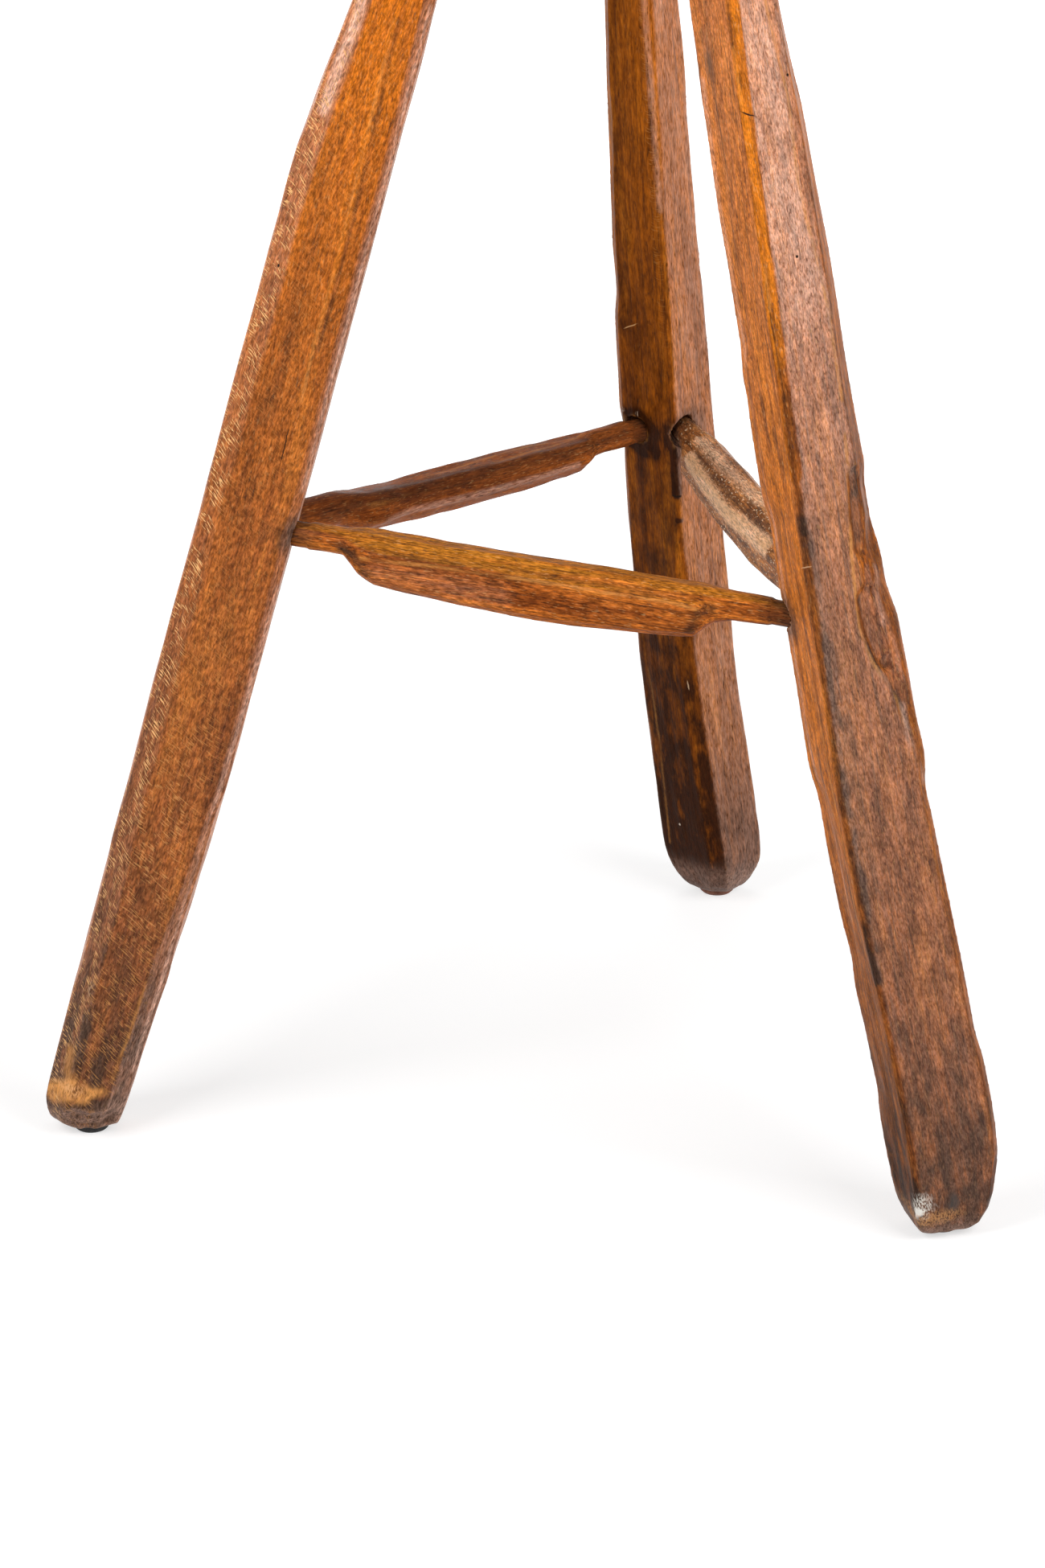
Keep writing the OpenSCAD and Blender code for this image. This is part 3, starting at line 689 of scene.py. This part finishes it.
backLeg = {
    "node": "leg_back",
    "seed": 37,
    "twist": ((0, -4), (0.19, -8), (0.43, 3), (0.703, 3)),
    "sheenAndPaleFaces": [(340, 32, 0.30, 0.30, 0.24), (20, 40, 0.4, 0.3, 0.15)],
    # the left face (250) darkens towards the foot: painted shadow of the left leg, with stain
    "dirtAndShadeFaces": [(250, 34, 0.10, 0.50, 1.0), (205, 26, 0.10, 0.2, 0.5),
                  (295, 18, 0.0, 0.30, 0.55), (340, 30, -0.10, 0.03, 0.30)],
    "amberFaces": [(295, 18, 0.45, 0.05, 0.0), (250, 30, 0.25, 0.2, 0.0), (340, 30, 0.55, 0.4, 0.0)],
    "footDirtAndShade": (0.02, 0.14, 0.40),
    "raspFrom": 289,
    "uneven": 0.0004,
    "wood": {"streakDepth": 1.1, "lineDepth": 0.5, "fibreDepth": 0.30, "mottleTint": 0.14, "mottleDepth": 0.2,
             "dirtAndShade": (0.040, 0.011, 0.003), "pore": (0.045, 0.014, 0.004), "fleckDepth": 0.05,
             "dark": (0.150, 0.034, 0.002), "russet": (0.290, 0.072, 0.004), "orange": (0.420, 0.110, 0.006),
             "honey": (0.560, 0.165, 0.010)},
    "strokes": [
        ("dirtAndShade", [(841, 553), (843, 615)], 4.5, 0.6, 0.9),
        ("amber", [(797, 0), (804, 200), (811, 400), (817, 530)], 9, 1.0, 0.5),
        ("dirtAndShade", [(760, 0), (765, 200), (772, 400)], 10, 1.0, 0.30),
        # darker where the left stretcher goes in: painted shade
        ("dirtAndShade", [(792, 540), (812, 560)], 9, 0.7, 0.8),
        ("dirtAndShade", [(843, 648), (848, 648)], 2.2, 0.5, 0.9),
        ("dirtAndShade", [(846, 770), (858, 844), (870, 920), (882, 992),
         (897, 1080)], 6.5, 0.8, 0.42),  # dark ridge low down
        ("worn", [(799, 786), (812, 863), (821, 925), (827, 986),
         (834, 1048)], 1.1, 0.8, 0.4),  # light arris on the far left
        ("sheenAndPale", [(862, 0), (872, 120), (880, 250), (886, 400),
         (891, 540)], 2.5, 0.7, 0.35),  # light strip on the right
    ],
    "grooves": [([(769, 400), (771, 450), (774, 500)], 20, -1.5, 0)],
    "marks": [
        ((842, 618), (850, 616), (3.5, 0.9), (0.02, 0.010, 0.006), 1.0, 0.5, 1, 0, 0),
        ((776, 508), (776, 512), (2.2, 1.6), (0.62, 0.52, 0.42), 0.8, 0.5, 2, 0, 1),
        ((793, 514), (793, 518), (2.2, 1.4), (0.55, 0.42, 0.30), 0.7, 0.5, 2, 0, 1),
        ((846, 1025), (846, 1029), (1.2, 0.9), (0.70, 0.60, 0.50), 0.8, 0.5, 0.8, 0, 0),
        ((856, 853), (858, 862), (4.2, 0.5), (0.62, 0.42, 0.26), 0.7, 0.5, 0.8, 0, 0),
        ((785, 405), (795, 402), (6, 0.5), (0.62, 0.34, 0.14), 0.8, 0.5, 1, 0, 0),
    ],
    "rasp": backRasp,
}

stretcherNodes = ["stretcher_front", "stretcher_left", "stretcher_right"]
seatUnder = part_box("seat")[0].z


def faceMask(azimuth, centre, width):
    off = np.abs((azimuth - centre + 180) % 360 - 180)
    return 1 - softStep(off, width * 0.5, width)


def shapeLeg(leg):
    node = leg["node"]
    mesh = voxelCopy(node, legCarve["voxel"])
    keepHalf(mesh, mesh, seatUnder + legCarve["overlap"], above=False)
    points, edges = readPoints(mesh), readEdges(mesh)

    # middle line of the leg, as a smooth curve over height
    first, step = legCarve["middleLevels"]
    levels = np.arange(first, seatUnder, step)
    middles = []
    for z in levels:
        ring = points[np.abs(points[:, 2] - z) < legCarve["ringReach"]]
        middles.append((ring[:, :2].min(0) + ring[:, :2].max(0)) / 2)
    middles = np.array(middles)
    curves = [np.polyfit(levels, middles[:, k], 4) for k in (0, 1)]
    lean = np.hypot(*[np.polyfit(levels, middles[:, k], 1)[0] for k in (0, 1)])

    def fromMiddle(p):
        return np.stack([p[:, k] - np.polyval(curves[k], p[:, 2]) for k in (0, 1)], 1)

    def grainOf(p):  # mm across, across and along the leg
        off = fromMiddle(p) * 1000
        return np.stack([off[:, 0], off[:, 1], p[:, 2] * 1000 * (1 + lean ** 2) ** 0.5], 1)

    # wear: every arris a little, the soft band more
    mesh.update()
    normals = readNormals(mesh)
    azimuth = np.degrees(np.arctan2(normals[:, 1], normals[:, 0]))
    body = 1 - softStep(points[:, 2], *[seatUnder - below for below in legCarve["neck"]])
    points = relax(points, edges, wearRounds, body, wearSwell)
    if "softArris" in leg:
        centre, width, rounds = leg["softArris"]
        weight = faceMask(azimuth, centre, width) * softStep(points[:, 2], *leg["soften"][:2])
        weight = spread(weight * (1 - softStep(points[:, 2], *leg["soften"][2:])), edges, legCarve["softSpread"])
        points = relax(points, edges, rounds, weight * body)
    grain = grainOf(points)
    writePoints(mesh, points)
    normals = readNormals(mesh)
    coarse, fine = legCarve["dentSpans"]
    dents = wobble(grain, coarse, leg["seed"]) + legCarve["fineDents"] * wobble(grain, fine, leg["seed"] + 1)
    points = points + normals * (leg["uneven"] * dents * body)[:, None]
    for groove in leg["grooves"]:
        points = carveGroove(points, normals, node, groove)
    writePoints(mesh, points)

    # nicks along the arrises
    normals = readNormals(mesh)
    arris = softStep(roundness(points, normals, edges), *legCarve["nickBend"]) * body
    rng = np.random.default_rng(leg["seed"] + 5)
    places = rng.choice(len(points), legCarve["nicks"], p=arris / arris.sum())
    for centre in places:
        size = rng.uniform(*legCarve["nickSize"])
        depth = rng.uniform(*legCarve["nickDepth"])
        near = np.abs(points[:, 2] - points[centre, 2]) < size * 3
        away = np.linalg.norm((points[near] - points[centre]) / np.array([1, 1, legCarve["nickLong"]]), axis=1)
        points[near] -= normals[near] * (depth * np.exp(-(away / size) ** 2))[:, None]
    writePoints(mesh, points)

    # masks for the stain, the wear, painted sheen and painted shade
    normals = readNormals(mesh)
    height = points[:, 2]
    turns = np.array(leg.get("twist", ((0, 0), (1, 0))), float)
    azimuth = np.degrees(np.arctan2(normals[:, 1], normals[:, 0])) - np.interp(height, turns[:, 0], turns[:, 1])
    bend = roundness(points, normals, edges, 2)
    sheenAndPale, amber, dirtAndShade = (np.zeros(len(points)) for _ in range(3))
    worn = softStep(bend, *legCarve["wornBend"]) * legCarve["arrisWorn"]
    for target, faces in ((sheenAndPale, leg["sheenAndPaleFaces"]), (amber, leg["amberFaces"]), (dirtAndShade, leg["dirtAndShadeFaces"])):
        for centre, width, top, middle, foot in faces:
            strength = np.interp(height, legCarve["faceHeights"], (foot, middle, top))
            target += faceMask(azimuth, centre, width) * strength
    masks = {"sheenAndPale": sheenAndPale, "amber": amber, "dirtAndShade": dirtAndShade, "worn": worn}
    paint(masks, points, node, leg["strokes"])
    footLow, footHigh, footStrength = leg["footDirtAndShade"]
    dirtAndShade += (1 - softStep(height, footLow, footHigh)) * footStrength
    dirtAndShade += jointSoak(points, stretcherNodes, legCarve)
    dirtAndShade += softStep(-bend, *legCarve["hollowBend"]) * legCarve["hollowStain"]
    # faces that look down near the floor: painted shade, with a little of the pale layer
    sole = softStep(-normals[:, 2], *legCarve["soleFacing"]) * (1 - softStep(height, *legCarve["soleFade"]))
    dirtAndShade += sole * legCarve["soleShade"]
    sheenAndPale += sole * legCarve["solePale"]
    grain = grainOf(points)
    store(mesh, "grain", grain)
    store(mesh, "worn", np.clip(worn, 0, 1))
    store(mesh, "sheenAndPale", np.clip(spread(sheenAndPale, edges, 1), 0, 1))
    store(mesh, "amber", np.clip(spread(amber, edges, 1), 0, 1))
    store(mesh, "dirtAndShade", np.clip(spread(dirtAndShade, edges, 1), 0, 1.2))
    if "raspFrom" in leg:
        off = fromMiddle(points)
        turn = np.degrees(np.arctan2(off[:, 1], off[:, 0])) - leg["raspFrom"]
        turn = (turn + 180) % 360 - 180
        girth = np.radians(turn) * legCarve["girthRadius"]
        rasp, here = leg["rasp"](girth, grain[:, 2], height)
        store(mesh, "rasp", rasp)
        store(mesh, "raspHere", here)

    # the tenon keeps the crisp shape of the solid
    tenon = bpy.data.meshes.new("tenon")
    keepHalf(nodes[node].data, tenon, seatUnder - legCarve["overlap"], above=True, weld=1e-6)
    tenonPoints = readPoints(tenon)
    store(tenon, "grain", grainOf(tenonPoints))
    store(tenon, "dirtAndShade", np.full(len(tenonPoints), legCarve["tenonStain"]))
    bm = bmesh.new()
    bm.from_mesh(mesh)
    bm.from_mesh(tenon)
    bm.to_mesh(mesh)
    bm.free()
    print(node, len(mesh.vertices), "points")
    return mesh


def nearLine(points, node, pixels):  # mm from a line of photograph pixels laid on a solid
    line = np.array([seenAt(node, pixel)[0] for pixel in pixels])
    away = np.full(len(points), 1.0)
    for a, b in zip(line[:-1], line[1:]):
        t = np.clip(((points - a) @ (b - a)) / ((b - a) @ (b - a)), 0, 1)
        away = np.minimum(away, np.linalg.norm(points - (a + t[:, None] * (b - a)), axis=1))
    return away * 1000


def paint(masks, points, node, strokes):  # adds to the masks along such lines
    for mask, line, wide, soft, strength in strokes:
        away = nearLine(points, node, line)
        masks[mask] += strength * (1 - softStep(away, wide * (1 - soft), wide))


def carveGroove(points, normals, node, groove):  # a gouge run along such a line
    line, wide, depth, flat = groove
    away = nearLine(points, node, line)
    return points - normals * (depth / 1000 * (1 - softStep(away, flat * wide, wide)))[:, None]


for leg in (leftLeg, rightLeg, backLeg):
    mesh = shapeLeg(leg)
    changes = {"raspSpan": legCarve["raspSpan"]} if "rasp" in leg else {}
    marks = [(markAt(leg["node"], *mark[:3]), *mark[3:]) for mark in leg["marks"]]
    wood = stainedBeech(leg["node"] + "_beech", {**changes, **leg["wood"]}, marks)
    settle(mesh, leg["node"] + "_carved", leg["node"], wood)
print("legs carved")


# stretchers, shaved flat and scooped at both shoulders
lightBand = [(855, 571), (869, 593), (888, 618), (905, 640), (927, 659), (952, 680)]
stretchers = {
    "stretcher_front": {
        "legs": ("leg_left", "leg_right"),
        "seed": 51,
        "amber": 0.70,
        "wood": {},
        "strokes": [
            ("worn", [(448, 694), (533, 704), (634, 718), (700, 728), (747, 736), (833, 749),
             (866, 758)], 1.4, 0.8, 0.7),  # light arris
            ("dirtAndShade", [(460, 688), (540, 697), (640, 710), (740, 727),
             (840, 744)], 2.2, 0.9, 0.35),  # dark grain above it
            ("dirtAndShade", [(424, 681), (440, 693), (452, 712)], 5.5, 1.0, 0.75),
            ("dirtAndShade", [(730, 757), (790, 764), (850, 774)], 9, 1.0, 0.16),
            ("dirtAndShade", [(884, 758), (868, 764), (858, 784)], 6, 1.0, 0.55),
            ("sheenAndPale", [(470, 715), (540, 727), (620, 741)], 12, 1.0, 0.08),
        ],
    },
    "stretcher_left": {
        "legs": ("leg_left", "leg_back"),
        "seed": 63,
        "amber": 0.0,
        "wood": {"bodyRange": (0.30, 0.95), "streakDepth": 0.6, "mottleDepth": 0.2,
                 "mottleTint": 0.12, "fibreDepth": 0.35},
        "grooves": [([(385, 636), (430, 632), (470, 628)], 30, -2.6, 0)],
        "strokes": [
            ("worn", [(380, 623), (495, 593), (590, 568), (660, 555), (725, 540),
             (775, 522)], 1.6, 0.8, 0.6),  # light top edge
            # darker side face: painted shade, with stain
            ("dirtAndShade", [(400, 636), (500, 610), (600, 585), (700, 560), (770, 535)], 10, 0.8, 0.54),
            ("sheenAndPale", [(480, 644), (560, 624), (640, 604), (720, 580)], 3.5, 0.7, 0.35),  # paler facet below: painted light on it
        ],
    },
    "stretcher_right": {
        "legs": ("leg_back", "leg_right"),
        "seed": 75,
        "amber": 0.0,
        "wood": {"dark": (0.120, 0.046, 0.014), "russet": (0.255, 0.086, 0.023), "orange": (0.380, 0.145, 0.040),
                 "honey": (0.520, 0.230, 0.075), "sheenAndPale": (0.76, 0.46, 0.28), "worn": (0.72, 0.42, 0.20),
                 "fleck": (0.88, 0.64, 0.40), "fleckSpan": (1.3, 1.3, 2.4), "fleckDepth": 0.8},
        "strokes": [
            ("sheenAndPale", lightBand, 7.2, 0.6, 0.9),  # flecked light band
            ("worn", lightBand, 6, 0.5, 0.6),
            ("dirtAndShade", [(869, 566), (888, 591), (907, 615), (927, 635),
             (950, 657)], 3.4, 0.8, 0.50),  # dark stripe above it
            ("sheenAndPale", [(872, 546), (899, 577), (921, 599), (950, 626)], 6.5, 0.7, 0.55),
            ("amber", [(877, 637), (897, 662), (919, 684), (945, 705)], 4, 0.7, 0.40),  # red side below
        ],
    },
}
stretcherCarve = {
    "voxel": 0.0010,
    "uneven": 0.0003,
    "dentSpans": ((20, 20, 60), (7, 7, 24)),
    "fineDents": 0.5,
    "jointStain": 0.7,
    "jointFade": (0.002, 0.020),
    "jointReach": 0.03,
    "hollowStain": 0.5,
    "hollowBend": (20, 90),
    "arrisWorn": 0.6,
    "wornBend": (70, 230),
    "litTopFacing": (0.50, 0.75),
}
stretcherWood = {"bodySpan": (16, 16, 120), "lineSpan": (1.1, 1.1, 60), "lineDepth": 0.70,
                 "fibreSpan": (0.75, 0.75, 4.0), "mottleTint": 0.18, "amber": (0.40, 0.150, 0.014)}


def shapeStretcher(node, style):
    mesh = voxelCopy(node, stretcherCarve["voxel"])
    points, edges = readPoints(mesh), readEdges(mesh)
    middle = points.mean(0)
    run = np.linalg.svd(points[::7] - middle, full_matrices=False)[2][0]
    side = np.cross([0, 0, 1], run)
    side /= np.linalg.norm(side)
    top = np.cross(run, side)

    def grainOf(p):
        return np.stack([(p - middle) @ side, (p - middle) @ top, (p - middle) @ run], 1) * 1000

    points = relax(points, edges, wearRounds, 1.0, wearSwell)
    writePoints(mesh, points)
    normals, grain = readNormals(mesh), grainOf(points)
    coarse, fine = stretcherCarve["dentSpans"]
    dents = wobble(grain, coarse, style["seed"])
    dents += stretcherCarve["fineDents"] * wobble(grain, fine, style["seed"] + 1)
    points = points + normals * (stretcherCarve["uneven"] * dents)[:, None]
    for groove in style.get("grooves", ()):
        points = carveGroove(points, normals, node, groove)
    writePoints(mesh, points)
    normals, grain = readNormals(mesh), grainOf(points)
    bend = roundness(points, normals, edges)
    dirtAndShade = jointSoak(points, style["legs"], stretcherCarve)
    dirtAndShade += softStep(-bend, *stretcherCarve["hollowBend"]) * stretcherCarve["hollowStain"]
    masks = {
        "sheenAndPale": np.zeros(len(points)),
        # the tops go more amber: painted light on the upward faces, with stain
        "amber": softStep(normals[:, 2], *stretcherCarve["litTopFacing"]) * style["amber"],
        "dirtAndShade": dirtAndShade,
        "worn": softStep(bend, *stretcherCarve["wornBend"]) * stretcherCarve["arrisWorn"],
    }
    paint(masks, points, node, style["strokes"])
    store(mesh, "grain", grain)
    for name, values in masks.items():
        store(mesh, name, np.clip(values, 0, 1.2))
    print(node, len(mesh.vertices), "points")
    return mesh


for node, style in stretchers.items():
    wood = stainedBeech(node + "_beech", {**stretcherWood, **style["wood"]})
    settle(shapeStretcher(node, style), node + "_shaved", node, wood)
print("stretchers shaved")


# seat slab, hollowed by hand
seat = {
    "dishAcross": 0.270,
    "dishDepth": 0.006,
    "edgeRound": 0.009,
    "worn": 0.0005,  # the tenons stand proud by this much
    "ringStep": 0.0024,
    "sideStep": 0.003,
    "underStep": 0.004,
    "edgeSteps": 8,
    "dentDepths": (0.0005, 0.00016),
    "dentSpans": ((60, 60, 110), (16, 16, 40)),
    "jointStain": 0.7,
    "jointFade": (0.0003, 0.004),
    "jointReach": 0.02,
    "underShade": 0.35,
    "underFacing": (0.4, 0.9),
    "rimBand": (0.014, 0.004),  # in from the edge
    "rimWorn": 0.8,
    "topSheen": 0.15,
    "middleAmber": 0.5,
    "amberFade": (0.05, 0.13),  # radius
    "spokes": 288,
    "leastRing": 0.003,
    "seed": 87,
    "wood": {"bodySpan": (34, 34, 260), "streakSpan": (3.4, 3.4, 90)},
}


def shapeSeat():
    low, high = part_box("seat")
    radius = (high.x - low.x) / 2
    rounded = seat["edgeRound"]
    dishRadius = seat["dishAcross"] / 2
    profile = []
    for r in np.arange(seat["ringStep"], radius - rounded, seat["ringStep"]):
        sunk = seat["dishDepth"] * max(0, 1 - (r / dishRadius) ** 2)
        profile.append((r, high.z - seat["worn"] - sunk))
    turns = np.linspace(0, pi / 2, seat["edgeSteps"])
    for turn in turns:
        profile.append((radius - rounded + rounded * sin(turn),
                        high.z - rounded + rounded * cos(turn) - seat["worn"] * cos(turn)))
    for z in np.arange(high.z - rounded - seat["sideStep"], low.z + rounded, -seat["sideStep"]):
        profile.append((radius, z))
    for turn in turns:
        profile.append((radius - rounded + rounded * cos(turn), low.z + rounded - rounded * sin(turn)))
    for r in np.arange(radius - rounded - seat["underStep"], seat["leastRing"], -seat["underStep"]):
        profile.append((r, low.z))
    spokes = seat["spokes"]
    angles = np.arange(spokes) * 2 * pi / spokes
    rings = np.array(profile)
    points = np.stack([np.outer(rings[:, 0], np.cos(angles)), np.outer(rings[:, 0], np.sin(angles)),
                       np.repeat(rings[:, 1:], spokes, 1)], 2).reshape(-1, 3)
    points = np.vstack([points, [0, 0, rings[0, 1]], [0, 0, rings[-1, 1]]])
    faces = []
    for i in range(len(rings) - 1):
        for j in range(spokes):
            k = (j + 1) % spokes
            faces.append((i * spokes + j, (i + 1) * spokes + j, (i + 1) * spokes + k, i * spokes + k))
    topMiddle, underMiddle, last = len(points) - 2, len(points) - 1, (len(rings) - 1) * spokes
    for j in range(spokes):
        k = (j + 1) % spokes
        faces.append((topMiddle, j, k))
        faces.append((underMiddle, last + k, last + j))
    mesh = bpy.data.meshes.new("seat_slab")
    mesh.from_pydata(points.tolist(), [], faces)
    mesh.update()
    edges = readEdges(mesh)
    normals = readNormals(mesh)

    def grainOf(p):
        return np.stack([p[:, 1], p[:, 2], p[:, 0]], 1) * 1000

    grain = grainOf(points)
    (coarse, fine), (deep, shallow) = seat["dentSpans"], seat["dentDepths"]
    dents = deep * wobble(grain, coarse, seat["seed"]) + shallow * wobble(grain, fine, seat["seed"] + 1)
    points = points + normals * np.minimum(dents, seat["worn"] * 0.5)[:, None]
    writePoints(mesh, points)
    normals = readNormals(mesh)
    radial = np.hypot(points[:, 0], points[:, 1])
    facing, level = np.clip(normals[:, 2], 0, 1), np.abs(normals[:, 2])
    store(mesh, "grain", grainOf(points))
    rim = softStep(radial, *[radius - inward for inward in seat["rimBand"]])
    rim = rim * softStep(level, 0.25, 0.6) * (1 - softStep(level, 0.8, 0.97))
    store(mesh, "worn", rim * seat["rimWorn"])
    # upward faces paler: painted sheen
    store(mesh, "sheenAndPale", facing * seat["topSheen"])
    store(mesh, "amber", facing * (1 - softStep(radial, *seat["amberFade"])) * seat["middleAmber"])
    dirtAndShade = jointSoak(points, ("leg_left", "leg_right", "leg_back"), seat)
    # the underside darker: painted shade
    dirtAndShade += softStep(-normals[:, 2], *seat["underFacing"]) * seat["underShade"]
    store(mesh, "dirtAndShade", np.clip(dirtAndShade, 0, 1.2))
    print("seat", len(mesh.vertices), "points")
    return mesh


seatWood = stainedBeech("seat_beech", seat["wood"])
settle(shapeSeat(), "seat_hollowed", "seat", seatWood)
print("seat hollowed")


# wedges, glides and nails keep their solids
wedge = {
    "tones": [(0.3, (0.13, 0.05, 0.018)), (0.5, (0.25, 0.11, 0.04)), (0.72, (0.38, 0.19, 0.07))],
    "pore": (0.06, 0.03, 0.02),
    "poreDepth": 0.6,
    "ringScale": (900, 900, 60),  # per metre
    "poreScale": (2600, 2600, 300),
    "gloss": (0.42, 0.62),
    "bump": 0.3,
}
glides = {
    "left": {"finish": "black_glide", "dark": (0.012, 0.012, 0.013), "mid": (0.035, 0.034, 0.034),
             "dust": (0.16, 0.14, 0.12), "gloss": (0.42, 0.62)},
    "right": {"finish": "dark_glide", "dark": (0.030, 0.022, 0.018), "mid": (0.075, 0.055, 0.042),
              "dust": (0.20, 0.17, 0.14), "gloss": (0.48, 0.68)},
    "back": {"finish": "brown_glide", "dark": (0.20, 0.075, 0.045), "mid": (0.34, 0.14, 0.09),
             "dust": (0.45, 0.30, 0.22), "gloss": (0.45, 0.65)},
}
glideGrit = {"patchScale": (240,) * 3, "speckScale": (1900,) * 3, "dusty": 0.5, "bump": 0.25, "bumpDepth": 0.0003}
nail = {
    "steel": (0.46, 0.45, 0.44),
    "rust": (0.20, 0.11, 0.06),
    "rustScale": (700,) * 3,
    "gloss": (0.28, 0.6),
}


def wedgeWood():
    material, tree, shader = newMaterial("wedge_end_grain", 0.5)
    place = objectPlace(tree)
    rings = cloud(tree, stretch(tree, place, wedge["ringScale"]), 3.0, 0.6)
    dots = cloud(tree, stretch(tree, place, wedge["poreScale"]), 1.0)
    poreFactor = sums(tree, "MULTIPLY", between(tree, dots, 0.58, 0.7), wedge["poreDepth"])
    tone = blendTone(tree, poreFactor, toneRamp(tree, rings, wedge["tones"]), wedge["pore"])
    feed(tree, shader, "Base Color", tone)
    feed(tree, shader, "Roughness", between(tree, dots, 0.3, 0.7, *wedge["gloss"]))
    addBump(tree, shader, rings, wedge["bump"])
    return material


def glideStuff(glide):
    material, tree, shader = newMaterial(glide["finish"], 0.5)
    place = objectPlace(tree)
    patches = cloud(tree, stretch(tree, place, glideGrit["patchScale"]), 4.0, 0.6)
    specks = cloud(tree, stretch(tree, place, glideGrit["speckScale"]), 2.0)
    tone = blendTone(tree, between(tree, patches, 0.35, 0.65), glide["dark"], glide["mid"])
    dustFactor = sums(tree, "MULTIPLY", between(tree, specks, 0.6, 0.72), glideGrit["dusty"])
    feed(tree, shader, "Base Color", blendTone(tree, dustFactor, tone, glide["dust"]))
    feed(tree, shader, "Roughness", between(tree, patches, 0.3, 0.7, *glide["gloss"]))
    addBump(tree, shader, specks, glideGrit["bump"], glideGrit["bumpDepth"])
    return material


def nailSteel():
    material, tree, shader = newMaterial("nail_steel", 0.35, 0.5)
    shader.inputs["Metallic"].default_value = 1.0
    rust = cloud(tree, stretch(tree, objectPlace(tree), nail["rustScale"]), 3.0, 0.6)
    feed(tree, shader, "Base Color", blendTone(tree, between(tree, rust, 0.5, 0.65), nail["steel"], nail["rust"]))
    feed(tree, shader, "Roughness", between(tree, rust, 0.4, 0.65, *nail["gloss"]))
    return material


def dress(node, material):
    nodes[node].data.materials.clear()
    nodes[node].data.materials.append(material)


wedgeMaterial = wedgeWood()
nailMaterial = nailSteel()
for side, glide in glides.items():
    dress("wedge_" + side, wedgeMaterial)
    dress("glide_nail_" + side, nailMaterial)
    dress("glide_" + side, glideStuff(glide))
print("wedges, glides and nails dressed")


# floor, world and lamps
studio = {
    "floorAcross": 40,
    "floorGlow": 0.61,  # what camera and gloss see at the middle; the rest is lit and takes the shadow
    "floorGlowRise": 0.30,  # more of it per metre away from the lamps, which makes the open floor an even white
    "floorGlowLeast": 0.60,
    "floorAway": (-0.25, 0.968, 0),  # the way that leads from the lamps
    "floorFade": (0.55, 1.3),  # radius over which the floor turns plain white
    "floorLit": 0.50,
    "floorTone": (0.86, 0.86, 0.86),
    "worldTone": (1.0, 1.0, 1.0),
    "worldFill": 0.20,
    "lampAim": (0, 0, 0.42),
}
lamps = {
    "leftBox": {"azimuth": 236, "rise": 29, "away": 1.25, "wide": 0.75, "tall": 0.85, "watts": 12.5},
    "rightBox": {"azimuth": 333, "rise": 27, "away": 1.25, "wide": 0.90, "tall": 0.90, "watts": 12.5},
    "topBox": {"azimuth": 106, "rise": 62, "away": 1.9, "wide": 1.2, "tall": 1.0, "watts": 6},
}


def layFloor():
    half = studio["floorAcross"] / 2
    mesh = bpy.data.meshes.new("floor")
    mesh.from_pydata([(-half, -half, 0), (half, -half, 0), (half, half, 0), (-half, half, 0)], [], [(0, 1, 2, 3)])
    floor = bpy.data.objects.new("floor", mesh)
    enter(floor)
    material = bpy.data.materials.new("white_paper")
    material.use_nodes = True
    tree = material.node_tree
    tree.nodes.clear()
    output = addNode(tree, "OutputMaterial")
    plain = addNode(tree, "BsdfDiffuse", {"Color": (*studio["floorTone"], 1)})
    lit = addNode(tree, "BsdfDiffuse", {"Color": (*[studio["floorLit"]] * 3, 1)})
    place = objectPlace(tree)
    reach = vectors(tree, "LENGTH", place, output="Value")
    away = vectors(tree, "DOT_PRODUCT", place, studio["floorAway"], "Value")
    level = sums(tree, "ADD", sums(tree, "MULTIPLY", away, studio["floorGlowRise"]), studio["floorGlow"])
    level = sums(tree, "MAXIMUM", level, studio["floorGlowLeast"])
    level = sums(tree, "MAXIMUM", level, between(tree, reach, *studio["floorFade"]))
    glow = addNode(tree, "Emission", {"Color": (1, 1, 1, 1), "Strength": level})
    both = addNode(tree, "AddShader", {0: lit.outputs[0], 1: glow.outputs[0]})
    mix = addNode(tree, "MixShader", {0: seenRays(tree), 1: plain.outputs[0], 2: both.outputs[0]})
    tree.links.new(mix.outputs[0], output.inputs["Surface"])
    mesh.materials.append(material)


def hangLamps():
    for name, lamp in lamps.items():
        data = bpy.data.lights.new(name, "AREA")
        data.shape = "RECTANGLE"
        data.size, data.size_y = lamp["wide"], lamp["tall"]
        data.energy = lamp["watts"]
        light = bpy.data.objects.new(name, data)
        turn, rise = radians(lamp["azimuth"]), radians(lamp["rise"])
        out = Vector((cos(turn) * cos(rise), sin(turn) * cos(rise), sin(rise)))
        light.location = Vector(studio["lampAim"]) + out * lamp["away"]
        light.rotation_euler = (-out).to_track_quat("-Z", "Y").to_euler()
        light.visible_camera = False
        enter(light)


def fillWorld():
    world = bpy.data.worlds.new("studio")
    bpy.context.scene.world = world
    world.use_nodes = True
    tree = world.node_tree
    back = tree.nodes["Background"]
    back.inputs["Color"].default_value = (*studio["worldTone"], 1)
    tree.links.new(between(tree, seenRays(tree), 0, 1, studio["worldFill"], 1.0), back.inputs["Strength"])


layFloor()
hangLamps()
fillWorld()
print("studio lit")

bpy.context.view_layer.update()
